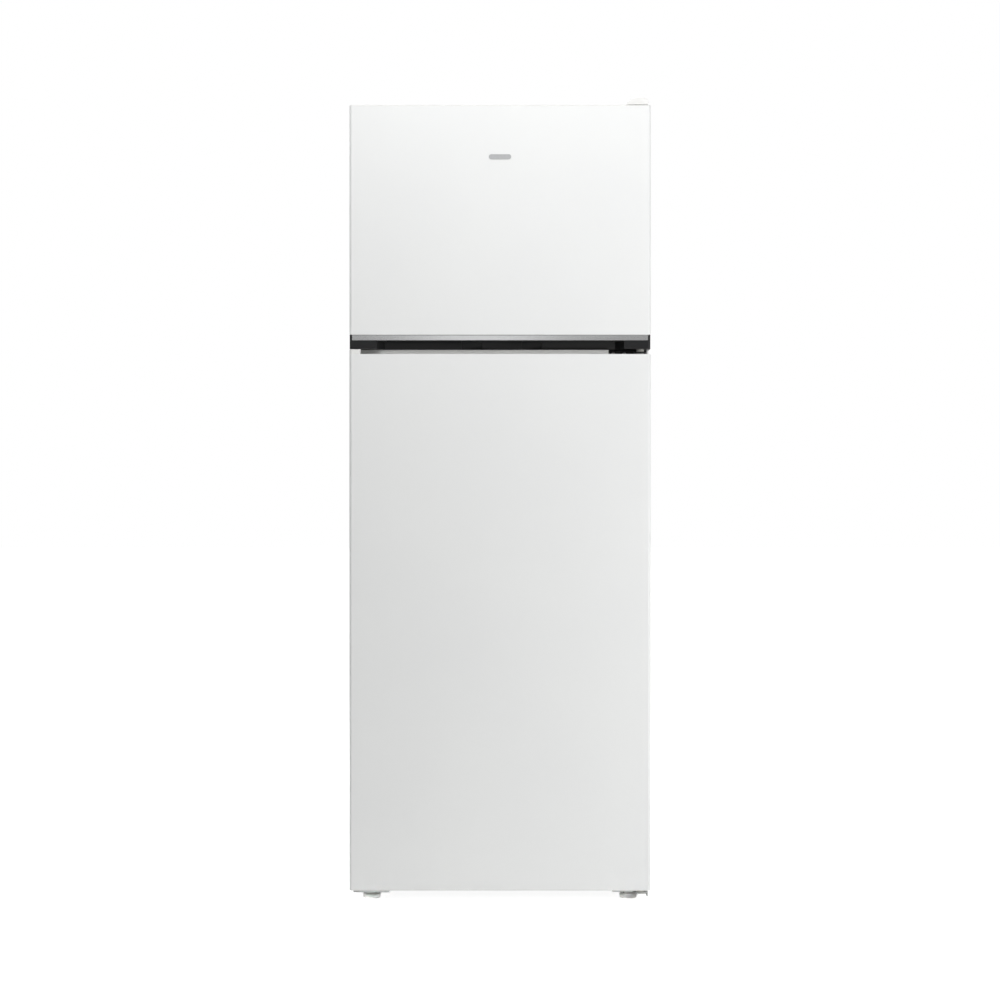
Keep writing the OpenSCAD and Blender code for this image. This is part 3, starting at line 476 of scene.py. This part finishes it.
# gaskets: a bellows section with a magnet bead at its front, mitred at the corners
gasketSection = [(1, 0), (15, 0), (15, 1.8), (12.4, 3), (14.6, 4.6), (12.4, 6.2), (15.2, 7.2),
                 (16, 8.3), (16, 10.8), (15.2, 11.7), (0.8, 11.7), (0, 10.8), (0, 8.3), (0.8, 7.2),
                 (3.6, 6.2), (1.4, 4.6), (3.6, 3), (1, 1.8)]


def gasketPiece(node):
    low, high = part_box(node)
    shape = bmesh.new()
    loops = []
    for sx, sz in ((-1, -1), (1, -1), (1, 1), (-1, 1)):
        edgeX = low.x if sx < 0 else high.x
        edgeZ = low.z if sz < 0 else high.z
        loops.append([shape.verts.new((edgeX - sx * u * mm, low.y + v * mm, edgeZ - sz * u * mm))
                      for u, v in gasketSection])
    for i in range(4):
        for k in range(len(gasketSection)):
            n = (k + 1) % len(gasketSection)
            shape.faces.new((loops[i][k], loops[i][n], loops[(i + 1) % 4][n], loops[(i + 1) % 4][k]))
    bmesh.ops.recalc_face_normals(shape, faces=shape.faces)
    piece = finished(node + "_fine", toMesh(shape, node + "_fine"), node)
    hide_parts(node)


gasketPiece("freezer_gasket")
gasketPiece("fridge_gasket")
print("gaskets")


def lathe(profile, steps, centre):  # turns (radius, height) points about an upright axis
    shape = bmesh.new()
    rings = []
    for radius, height in profile:
        turns = 1 if radius == 0 else steps
        rings.append([shape.verts.new((centre[0] + radius * math.cos(2 * math.pi * i / steps),
                                       centre[1] + radius * math.sin(2 * math.pi * i / steps),
                                       centre[2] + height)) for i in range(turns)])
    for lower, upper in zip(rings, rings[1:]):
        for i in range(steps):
            corners = [lower[i % len(lower)], lower[(i + 1) % len(lower)],
                       upper[(i + 1) % len(upper)], upper[i % len(upper)]]
            shape.faces.new(list(dict.fromkeys(corners)))
    bmesh.ops.recalc_face_normals(shape, faces=shape.faces)
    return shape


def tube(name, points, radius, sides=12):  # a round tube along points, made a plain mesh
    curve = bpy.data.curves.new(name, "CURVE")
    curve.dimensions = "3D"
    curve.bevel_depth, curve.bevel_resolution = radius, sides // 4
    curve.use_fill_caps = True
    spline = curve.splines.new("POLY")
    spline.points.add(len(points) - 1)
    for point, place in zip(spline.points, points):
        point.co = (*place, 1)
    thing = link(bpy.data.objects.new(name, curve))
    mesh = bpy.data.meshes.new_from_object(thing.evaluated_get(bpy.context.evaluated_depsgraph_get()))
    bpy.data.objects.remove(thing)
    return mesh


def serpentine(half, y, bottom, pitch, runs, steps=12):
    points = []
    for i in range(runs):
        side = 1 if i % 2 == 0 else -1
        points.append((-side * half, y, bottom + pitch * i))
        points.append((side * half, y, bottom + pitch * i))
        if i < runs - 1:
            points += [(side * (half + pitch / 2 * math.sin(math.pi * k / steps)), y,
                        bottom + pitch * i + pitch / 2 * (1 - math.cos(math.pi * k / steps)))
                       for k in range(1, steps)]
    return points


# geometry node trees for what repeats
def startTree(name, sockets):  # a tree with a geometry input and named size inputs
    tree = bpy.data.node_groups.new(name, "GeometryNodeTree")
    tree.interface.new_socket(name="Geometry", in_out="OUTPUT", socket_type="NodeSocketGeometry")
    tree.interface.new_socket(name="Geometry", in_out="INPUT", socket_type="NodeSocketGeometry")
    for label, value in sockets.items():
        kind = "NodeSocketInt" if isinstance(value, int) else "NodeSocketFloat"
        tree.interface.new_socket(name=label, in_out="INPUT", socket_type=kind).default_value = value
    tree.interface.new_socket(name="Material", in_out="INPUT", socket_type="NodeSocketMaterial")
    return tree, add(tree, "NodeGroupInput").outputs


def endTree(tree, start, geometry):
    real = add(tree, "GeometryNodeRealizeInstances", {"Geometry": geometry})
    paint = add(tree, "GeometryNodeSetMaterial", {"Geometry": real.outputs[0],
                                                  "Material": start["Material"]})
    add(tree, "NodeGroupOutput", {"Geometry": paint.outputs[0]})
    return tree


def grow(name, tree, sizes, seed, node, smoothAngle=32):  # bakes a tree over a seed mesh
    thing = link(bpy.data.objects.new(name, seed))
    modifier = thing.modifiers.new(name, "NODES")
    modifier.node_group = tree
    for item in tree.interface.items_tree:
        if item.in_out == "INPUT" and item.name in sizes:
            modifier[item.identifier] = sizes[item.name]
        if item.in_out == "INPUT" and item.name == "Material":
            modifier[item.identifier] = looks[slotOf[node]]
    thing.update_tag()
    mesh = bpy.data.meshes.new_from_object(thing.evaluated_get(bpy.context.evaluated_depsgraph_get()))
    bpy.data.objects.remove(thing)
    return finished(name, mesh, node, smoothAngle)


def seedPoints(name, points):
    mesh = bpy.data.meshes.new(name)
    mesh.from_pydata([tuple(p) for p in points], [], [])
    return mesh


def facingPoints(name, places):  # points that carry the direction their instance faces
    mesh = seedPoints(name, [p for p, _ in places])
    facing = mesh.attributes.new("facing", "FLOAT_VECTOR", "POINT")
    facing.data.foreach_set("vector", [c for _, d in places for c in d])
    return mesh


def screwTree():  # a pan head with a cross recess, on every seed point
    tree, start = startTree("pan head screws", {"Head Radius": 4.6 * mm, "Head Height": 2.4 * mm,
                                                "Recess Width": 1.1 * mm, "Recess Depth": 1.5 * mm})
    crown = add(tree, "ShaderNodeMath", {0: start["Head Radius"], 1: 0.62}, operation="MULTIPLY")
    waist = add(tree, "ShaderNodeMath", {0: start["Head Height"], 1: 0.55}, operation="MULTIPLY")
    rest = add(tree, "ShaderNodeMath", {0: start["Head Height"], 1: waist.outputs[0]},
               operation="SUBTRACT")
    rim = add(tree, "GeometryNodeMeshCone", {"Vertices": 24, "Radius Top": start["Head Radius"],
                                             "Radius Bottom": start["Head Radius"],
                                             "Depth": waist.outputs[0]})
    dome = add(tree, "GeometryNodeMeshCone", {"Vertices": 24, "Radius Top": crown.outputs[0],
                                              "Radius Bottom": start["Head Radius"],
                                              "Depth": rest.outputs[0]})
    lift = add(tree, "ShaderNodeCombineXYZ", {"Z": waist.outputs[0]})
    domeUp = add(tree, "GeometryNodeTransform", {"Geometry": dome.outputs[0],
                                                 "Translation": lift.outputs[0]})
    both = add(tree, "GeometryNodeJoinGeometry")
    tree.links.new(rim.outputs[0], both.inputs[0])
    tree.links.new(domeUp.outputs[0], both.inputs[0])
    head = add(tree, "GeometryNodeMergeByDistance", {"Geometry": both.outputs[0], "Distance": 1e-5})
    span = add(tree, "ShaderNodeMath", {0: start["Head Radius"], 1: 1.05}, operation="MULTIPLY")
    depth = add(tree, "ShaderNodeMath", {0: start["Recess Depth"], 1: 2.0}, operation="MULTIPLY")
    barSize = add(tree, "ShaderNodeCombineXYZ", {"X": span.outputs[0], "Y": start["Recess Width"],
                                                 "Z": depth.outputs[0]})
    barSide = add(tree, "ShaderNodeCombineXYZ", {"X": start["Recess Width"], "Y": span.outputs[0],
                                                 "Z": depth.outputs[0]})
    top = add(tree, "ShaderNodeCombineXYZ", {"Z": start["Head Height"]})
    cut = add(tree, "GeometryNodeMeshBoolean", {"Mesh 1": head.outputs[0]}, operation="DIFFERENCE")
    for size in (barSize, barSide):
        bar = add(tree, "GeometryNodeMeshCube", {"Size": size.outputs[0]})
        up = add(tree, "GeometryNodeTransform", {"Geometry": bar.outputs[0],
                                                 "Translation": top.outputs[0]})
        tree.links.new(up.outputs[0], cut.inputs["Mesh 2"])
    facing = add(tree, "GeometryNodeInputNamedAttribute", {"Name": "facing"}, data_type="FLOAT_VECTOR")
    turn = add(tree, "FunctionNodeAlignRotationToVector", {"Vector": facing.outputs[0]}, axis="Z")
    spread = add(tree, "GeometryNodeInstanceOnPoints", {"Points": start["Geometry"],
                                                        "Instance": cut.outputs[0],
                                                        "Rotation": turn.outputs[0]})
    return endTree(tree, start, spread.outputs[0])


def barTree():  # a row of half-round bars, on every seed point
    tree, start = startTree("bar row", {"Count": 10, "Step X": 0.0, "Step Z": 0.0, "Length": 0.1,
                                        "Radius": 1 * mm, "Turn X": 0.0, "Turn Y": 0.0, "Sides": 8})
    step = add(tree, "ShaderNodeCombineXYZ", {"X": start["Step X"], "Z": start["Step Z"]})
    row = add(tree, "GeometryNodeMeshLine", {"Count": start["Count"], "Offset": step.outputs[0]},
              mode="OFFSET")
    bar = add(tree, "GeometryNodeMeshCylinder", {"Vertices": start["Sides"], "Radius": start["Radius"],
                                                 "Depth": start["Length"]})
    turn = add(tree, "ShaderNodeCombineXYZ", {"X": start["Turn X"], "Y": start["Turn Y"]})
    bars = add(tree, "GeometryNodeInstanceOnPoints", {"Points": row.outputs[0],
                                                      "Instance": bar.outputs[0],
                                                      "Rotation": turn.outputs[0]})
    rows = add(tree, "GeometryNodeInstanceOnPoints", {"Points": start["Geometry"],
                                                      "Instance": bars.outputs[0]})
    return endTree(tree, start, rows.outputs[0])


def plateTree():  # a stack of thin plates along X, on every seed point
    tree, start = startTree("fin stack", {"Count": 20, "Pitch": 8 * mm, "Thickness": 0.3 * mm,
                                          "Depth": 50 * mm, "Height": 200 * mm})
    step = add(tree, "ShaderNodeCombineXYZ", {"X": start["Pitch"]})
    row = add(tree, "GeometryNodeMeshLine", {"Count": start["Count"], "Offset": step.outputs[0]},
              mode="OFFSET")
    size = add(tree, "ShaderNodeCombineXYZ", {"X": start["Thickness"], "Y": start["Depth"],
                                              "Z": start["Height"]})
    plate = add(tree, "GeometryNodeMeshCube", {"Size": size.outputs[0]})
    plates = add(tree, "GeometryNodeInstanceOnPoints", {"Points": row.outputs[0],
                                                        "Instance": plate.outputs[0]})
    stacks = add(tree, "GeometryNodeInstanceOnPoints", {"Points": start["Geometry"],
                                                        "Instance": plates.outputs[0]})
    return endTree(tree, start, stacks.outputs[0])


def ringTree():  # copies of the seed geometry turned about Z or Y through the origin
    tree, start = startTree("ring of copies", {"Count": 7, "Start Angle": 0.0, "Sweep": 2 * math.pi,
                                               "Upright": 0.0, "Centre X": 0.0, "Centre Y": 0.0,
                                               "Centre Z": 0.0})
    points = add(tree, "GeometryNodeMeshLine", {"Count": start["Count"], "Offset": (0, 0, 0)},
                 mode="OFFSET")
    index = add(tree, "GeometryNodeInputIndex")
    share = add(tree, "ShaderNodeMath", {0: index.outputs[0], 1: start["Count"]}, operation="DIVIDE")
    angle = add(tree, "ShaderNodeMath", {0: share.outputs[0], 1: start["Sweep"],
                                         2: start["Start Angle"]}, operation="MULTIPLY_ADD")
    about = add(tree, "ShaderNodeMath", {0: 1.0, 1: start["Upright"]}, operation="SUBTRACT")
    turnY = add(tree, "ShaderNodeMath", {0: angle.outputs[0], 1: about.outputs[0]},
                operation="MULTIPLY")
    turnZ = add(tree, "ShaderNodeMath", {0: angle.outputs[0], 1: start["Upright"]},
                operation="MULTIPLY")
    turn = add(tree, "ShaderNodeCombineXYZ", {"Y": turnY.outputs[0], "Z": turnZ.outputs[0]})
    copies = add(tree, "GeometryNodeInstanceOnPoints", {"Points": points.outputs[0],
                                                        "Instance": start["Geometry"],
                                                        "Rotation": turn.outputs[0]})
    centre = add(tree, "ShaderNodeCombineXYZ", {"X": start["Centre X"], "Y": start["Centre Y"],
                                                "Z": start["Centre Z"]})
    moved = add(tree, "GeometryNodeTransform", {"Geometry": copies.outputs[0],
                                                "Translation": centre.outputs[0]})
    return endTree(tree, start, moved.outputs[0])


screws, bars, plates, ring = screwTree(), barTree(), plateTree(), ringTree()
print("node trees ready")


# screws in the hinges, and along the rear returns of the cabinet; places in millimetres
screw = {
    "topPlate": ((308, -276), (334, -276), (321, -246)), "topStandoff": 3.5 * mm,
    "flangeX": (266, 292), "flangeHeight": 1281, "flangeInset": 3.5 * mm,
    "under": ((276, -212), (330, -212), (330, -256), (-272, -222), (-330, -222)), "underHeight": 20,
    "panelX": 0.339, "panelFirst": 0.36, "panelStep": 0.21, "panelCount": 7, "lowHeights": (0.06, 0.2),
    "panelHead": 4 * mm, "panelHeadHeight": 2.2 * mm,
}


def fasteners():
    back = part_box("outer_wrapper")[1]
    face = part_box("middle_hinge")[1].y - screw["flangeInset"]
    top = back.z + screw["topStandoff"]
    up, out, down, rear = (0, 0, 1), (0, -1, 0), (0, 0, -1), (0, 1, 0)
    places = [(Vector((x * mm, y * mm, top)), up) for x, y in screw["topPlate"]]
    places += [(Vector((x * mm, face, screw["flangeHeight"] * mm)), out) for x in screw["flangeX"]]
    places += [(Vector((x * mm, y * mm, screw["underHeight"] * mm)), down) for x, y in screw["under"]]
    piece = grow("hinge_screws_fine", screws, {}, facingPoints("hinge screws", places), "hinge_screws")
    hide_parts("hinge_screws")
    heights = [screw["panelFirst"] + screw["panelStep"] * i for i in range(screw["panelCount"])]
    rows = [(Vector((side * screw["panelX"], back.y, z)), rear) for side in (-1, 1) for z in heights]
    rows += [(Vector((side * screw["panelX"], back.y, z)), rear)
             for side in (-1, 1) for z in screw["lowHeights"]]
    grow("panel_screws", screws, {"Head Radius": screw["panelHead"],
                                  "Head Height": screw["panelHeadHeight"]},
         facingPoints("panel screws", rows), "hinge_screws")
    print("screws")


fasteners()


# front feet: a ribbed pad, a collar and a threaded stud, with a dark pin beside the collar
foot = {"ribs": 44, "ribRadius": 0.7 * mm, "ribHeight": 7.6 * mm, "ribMiddle": 6.6 * mm,
        "collar": ((14.4, 13.1), (13.9, 13.6), (13.5, 19), (13.1, 19.5)),  # radius, height in mm
        "studRadius": 5, "threadStart": 19.7, "threadPitch": 1.5, "threadDepth": 0.6,
        "pinRadius": 2.4 * mm, "pinIn": 11.3 * mm, "pinOut": 10.4 * mm,
        "pinBottom": 12.6 * mm, "pinShoulder": 19.3 * mm, "pinTop": 19.7 * mm}


def footPiece(node):
    low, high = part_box(node)
    centre = ((low.x + high.x) / 2, (low.y + high.y) / 2, low.z)
    radius = (high.x - low.x) / 2
    r, top, stud = radius / mm, (high.z - low.z) / mm, foot["studRadius"]
    profile = [(0, 0), (r - 3, 0), (r - 1.8, 0.5), (r - 1.2, 1.4), (r - 0.7, 2.6), (r - 0.7, 10.6),
               (r - 1.2, 11.8), (r - 2.4, 12.6), (r - 4.6, 13), *foot["collar"], (6, 19.6),
               (stud, foot["threadStart"])]
    z = foot["threadStart"]
    while z < top - 2.5:
        profile += [(stud, z + 0.4), (stud - foot["threadDepth"], z + 1.1)]
        z += foot["threadPitch"]
    profile += [(4.4, top - 1), (3.6, top), (0, top)]
    shape = lathe([(a * mm, b * mm) for a, b in profile], 48, centre)
    piece = finished(node + "_fine", toMesh(shape, node + "_fine"), node, 40)
    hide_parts(node)
    rib = bmesh.new()
    bmesh.ops.create_cone(rib, cap_ends=True, segments=8, radius1=foot["ribRadius"],
                          radius2=foot["ribRadius"], depth=foot["ribHeight"])
    bmesh.ops.translate(rib, verts=rib.verts, vec=(radius - foot["ribRadius"], 0, foot["ribMiddle"]))
    grow(node + "_ribs", ring, {"Count": foot["ribs"], "Upright": 1.0, "Centre X": centre[0],
                                "Centre Y": centre[1], "Centre Z": centre[2]},
         toMesh(rib, "pad rib"), node)
    inward = -math.copysign(foot["pinIn"], centre[0])
    pin = lathe([(0, foot["pinBottom"]), (foot["pinRadius"], foot["pinBottom"]),
                 (foot["pinRadius"], foot["pinShoulder"]), (0.8 * foot["pinRadius"], foot["pinTop"]),
                 (0, foot["pinTop"])], 20, (centre[0] + inward, centre[1] - foot["pinOut"], low.z))
    piece = finished(node + "_pin", toMesh(pin, node + "_pin"), node)
    piece.data.materials[0] = looks["black_plastic"]


footPiece("left_foot")
footPiece("right_foot")
print("feet")


# condenser: bent tube with spot-welded wires on both faces
condenser = {"pitch": 50 * mm, "wireRadius": 0.8 * mm, "wires": 36}


def condenserPieces():
    low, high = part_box("condenser_tube")
    radius = (high.y - low.y) / 2
    pitch, wire, count = condenser["pitch"], condenser["wireRadius"], condenser["wires"]
    runs = round((high.z - low.z - 2 * radius) / pitch) + 1
    half = high.x - radius - pitch / 2
    path = serpentine(half, (low.y + high.y) / 2, low.z + radius, pitch, runs)
    piece = finished("condenser_tube_fine", tube("condenser tube", path, radius), "condenser_tube", 60)
    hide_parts("condenser_tube")
    wireLow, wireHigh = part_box("condenser_wires")
    span = wireHigh.x - wireLow.x - 2 * wire
    seeds = [(wireLow.x + wire, side, (wireLow.z + wireHigh.z) / 2)
             for side in (wireLow.y + wire, wireHigh.y - wire)]
    piece = grow("condenser_wires_fine", bars, {"Count": count, "Step X": span / (count - 1),
                                                "Length": wireHigh.z - wireLow.z, "Radius": wire,
                                                "Sides": 8}, seedPoints("wire rows", seeds),
                 "condenser_wires", 60)
    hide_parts("condenser_wires")
    print("condenser")


condenserPieces()


# evaporator: pressed fins on a bent tube, between two end plates
coil = {"y": 0.228, "tubeRadius": 4 * mm, "pitch": 36 * mm, "runs": 6, "tubeBottom": 20 * mm,
        "fins": 51, "finPitch": 8 * mm, "finThickness": 0.3 * mm, "finDepth": 56 * mm,
        "finInset": 6 * mm, "endX": 0.206, "endThickness": 1.6 * mm}


def evaporatorPieces():
    low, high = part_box("evaporator")
    half = high.x - coil["tubeRadius"] - coil["pitch"] / 2
    finBottom, finTop = low.z + coil["finInset"], high.z - coil["finInset"]
    path = serpentine(half, coil["y"], finBottom + coil["tubeBottom"], coil["pitch"], coil["runs"])
    finished("evaporator_tube", tube("evaporator tube", path, coil["tubeRadius"]), "evaporator", 60)
    seeds = [(-(coil["fins"] - 1) / 2 * coil["finPitch"], coil["y"], (finBottom + finTop) / 2)]
    piece = grow("evaporator_fins", plates, {"Count": coil["fins"], "Pitch": coil["finPitch"],
                                             "Thickness": coil["finThickness"],
                                             "Depth": coil["finDepth"],
                                             "Height": finTop - finBottom},
                 seedPoints("fins", seeds), "evaporator")
    ends = [(-coil["endX"], (low.y + high.y) / 2, (low.z + high.z) / 2)]
    grow("evaporator_ends", plates, {"Count": 2, "Pitch": 2 * coil["endX"],
                                     "Thickness": coil["endThickness"],
                                     "Depth": high.y - low.y, "Height": high.z - low.z},
         seedPoints("end plates", ends), "evaporator")
    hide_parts("evaporator")
    print("evaporator")


evaporatorPieces()


# fan: twisted, cambered blades on a hub; angles in degrees, from the blade's root to its tip
fan = {"blades": 7, "hub": ((2.56, -6), (14, -6), (15, -5), (15, 3), (12.5, 5.4), (9, 6), (2.56, 6)),
       "root": 14 * mm, "tipGap": 0.8 * mm, "rootChord": 9, "chordGain": 15, "rootPitch": 42,
       "pitchLoss": 20, "camber": 1.6 * mm, "flatten": 0.72, "thickness": 1.2 * mm, "cells": 8}


def fanPieces():
    low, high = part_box("evaporator_fan")
    centre = ((low + high) / 2)
    root, cells = fan["root"], fan["cells"]
    tip = (high.z - low.z) / 2 - fan["tipGap"]
    section = [(a * mm, b * mm) for a, b in fan["hub"] + fan["hub"][:1]]
    hub = lathe(section, 40, (0, 0, 0))
    for v in hub.verts:
        v.co = Vector((v.co.x, -v.co.z, v.co.y)) + centre
    bmesh.ops.remove_doubles(hub, verts=hub.verts, dist=1e-6)
    bmesh.ops.recalc_face_normals(hub, faces=hub.faces)
    piece = finished("evaporator_fan_hub", toMesh(hub, "fan hub"), "evaporator_fan")
    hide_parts("evaporator_fan")
    blade = bmesh.new()
    grid = []
    for i in range(cells + 1):
        reach = root + (tip - root) * i / cells
        chord = (fan["rootChord"] + fan["chordGain"] * i / cells) * mm
        pitch = math.radians(fan["rootPitch"] - fan["pitchLoss"] * i / cells)
        row = []
        for k in range(cells + 1):
            u = (k / cells - 0.5) * chord
            camber = fan["camber"] * (1 - (2 * k / cells - 1) ** 2)
            row.append(blade.verts.new((reach * math.cos(u * math.cos(pitch) / reach),
                                        u * math.sin(pitch) * fan["flatten"] + camber,
                                        reach * math.sin(u * math.cos(pitch) / reach))))
        grid.append(row)
    for i in range(cells):
        for k in range(cells):
            blade.faces.new((grid[i][k], grid[i + 1][k], grid[i + 1][k + 1], grid[i][k + 1]))
    bmesh.ops.recalc_face_normals(blade, faces=blade.faces)
    bmesh.ops.solidify(blade, geom=blade.faces, thickness=fan["thickness"])
    grow("evaporator_fan_blades", ring, {"Count": fan["blades"], "Centre X": centre.x,
                                         "Centre Y": centre.y, "Centre Z": centre.z},
         toMesh(blade, "fan blade"), "evaporator_fan", 60)
    print("fan")


fanPieces()


# compressor: a drawn shell with a weld seam, on a pressed plate with four rubber mounts; in mm
compressor = {
    "y": 0.238, "base": 44, "radius": 76, "cornerRadius": 24, "domeRadius": 46, "domeHeight": 124,
    "seam": ((0, 84), (1.4, 85.2), (3.4, 86.4), (4, 88), (4, 90), (3.2, 92), (1.6, 93), (0.4, 94.6),
             (0, 98)),  # beyond the radius, above the base
    "plate": (190, 90, 6), "plateCorner": 16 * mm, "mountX": 84 * mm, "mountY": 34 * mm,
    "mount": ((0, 33), (10.4, 33), (11, 33.6), (11, 36.4), (9.4, 37.2), (11, 38), (11, 40.6),
              (10.4, 41), (6, 41), (6, 47), (8.6, 47), (9, 47.6), (9, 50.4), (8.4, 51), (4.6, 51),
              (4.6, 50.2), (0, 50.2)),
}


def arc(x, z, radius, angles):
    return [(x + radius * math.cos(math.radians(a)), z + radius * math.sin(math.radians(a)))
            for a in angles]


def compressorPieces():
    low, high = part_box("compressor")
    centre = ((low.x + high.x) / 2, compressor["y"], 0)
    base, r, corner = compressor["base"], compressor["radius"], compressor["cornerRadius"]
    dome = compressor["domeRadius"]
    profile = [(0, base + 2), (40, base + 2)]
    profile += arc(r - corner, base + 2 + corner, corner, range(-80, 1, 10))
    profile += [(r + a, base + b) for a, b in compressor["seam"]]
    profile += arc(r - dome, base + compressor["domeHeight"], dome, range(0, 91, 9))
    profile += [(0, base + compressor["domeHeight"] + dome)]
    shape = lathe([(a * mm, b * mm) for a, b in profile], 72, centre)
    piece = finished("compressor_shell", toMesh(shape, "compressor shell"), "compressor", 50)
    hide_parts("compressor")
    wide, deep, thick = compressor["plate"]
    plate = bmesh.new()
    bmesh.ops.create_cube(plate, size=1)
    for v in plate.verts:
        v.co = Vector((centre[0] + v.co.x * wide * mm, centre[1] + v.co.y * deep * mm,
                       (base + v.co.z * thick) * mm))
    upright = [e for e in plate.edges if abs(e.verts[0].co.z - e.verts[1].co.z) > 1 * mm]
    bmesh.ops.bevel(plate, geom=upright, offset=compressor["plateCorner"], segments=6,
                    affect="EDGES", profile=0.5)
    piece = finished("compressor_plate", toMesh(plate, "compressor plate"), "compressor")
    softenEdges(piece, 1 * mm)
    mount = lathe([(a * mm, b * mm) for a, b in compressor["mount"]], 28, (0, 0, 0))
    mountMesh = toMesh(mount, "rubber mount")
    for i, (sx, sy) in enumerate(((-1, -1), (1, -1), (1, 1), (-1, 1))):
        copy = mountMesh.copy()
        for v in copy.vertices:
            v.co += Vector((centre[0] + compressor["mountX"] * sx,
                            centre[1] + compressor["mountY"] * sy, 0))
        finished(f"compressor_mount_{i + 1}", copy, "compressor")
    print("compressor")


compressorPieces()


# low ribs that keep packs off the freezer floor, and prism lines under the lamp lens
floorRib = {"count": 21, "pitch": 25 * mm, "length": 0.4, "radius": 2.2 * mm, "start": (-0.25, -0.03),
            "linerFlange": 10 * mm, "sunk": 0.7 * mm}
prism = {"count": 27, "pitch": 5 * mm, "radius": 1.6 * mm, "margin": 3 * mm, "height": 0.9 * mm}


def ribRows():
    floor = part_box("freezer_liner")[0].z + floorRib["linerFlange"]
    grow("freezer_floor_ribs", bars, {"Count": floorRib["count"], "Step X": floorRib["pitch"],
                                      "Length": floorRib["length"], "Radius": floorRib["radius"],
                                      "Turn X": math.pi / 2, "Sides": 12},
         seedPoints("floor ribs", [(*floorRib["start"], floor - floorRib["sunk"])]), "freezer_liner")
    low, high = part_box("lamp_lens")
    first = (low.x + prism["pitch"], (low.y + high.y) / 2, low.z + prism["height"])
    grow("lamp_lens_prisms", bars, {"Count": prism["count"], "Step X": prism["pitch"],
                                    "Length": high.y - low.y - 2 * prism["margin"],
                                    "Radius": prism["radius"], "Turn X": math.pi / 2, "Sides": 10},
         seedPoints("prisms", [first]), "lamp_lens")
    print("ribs")


ribRows()
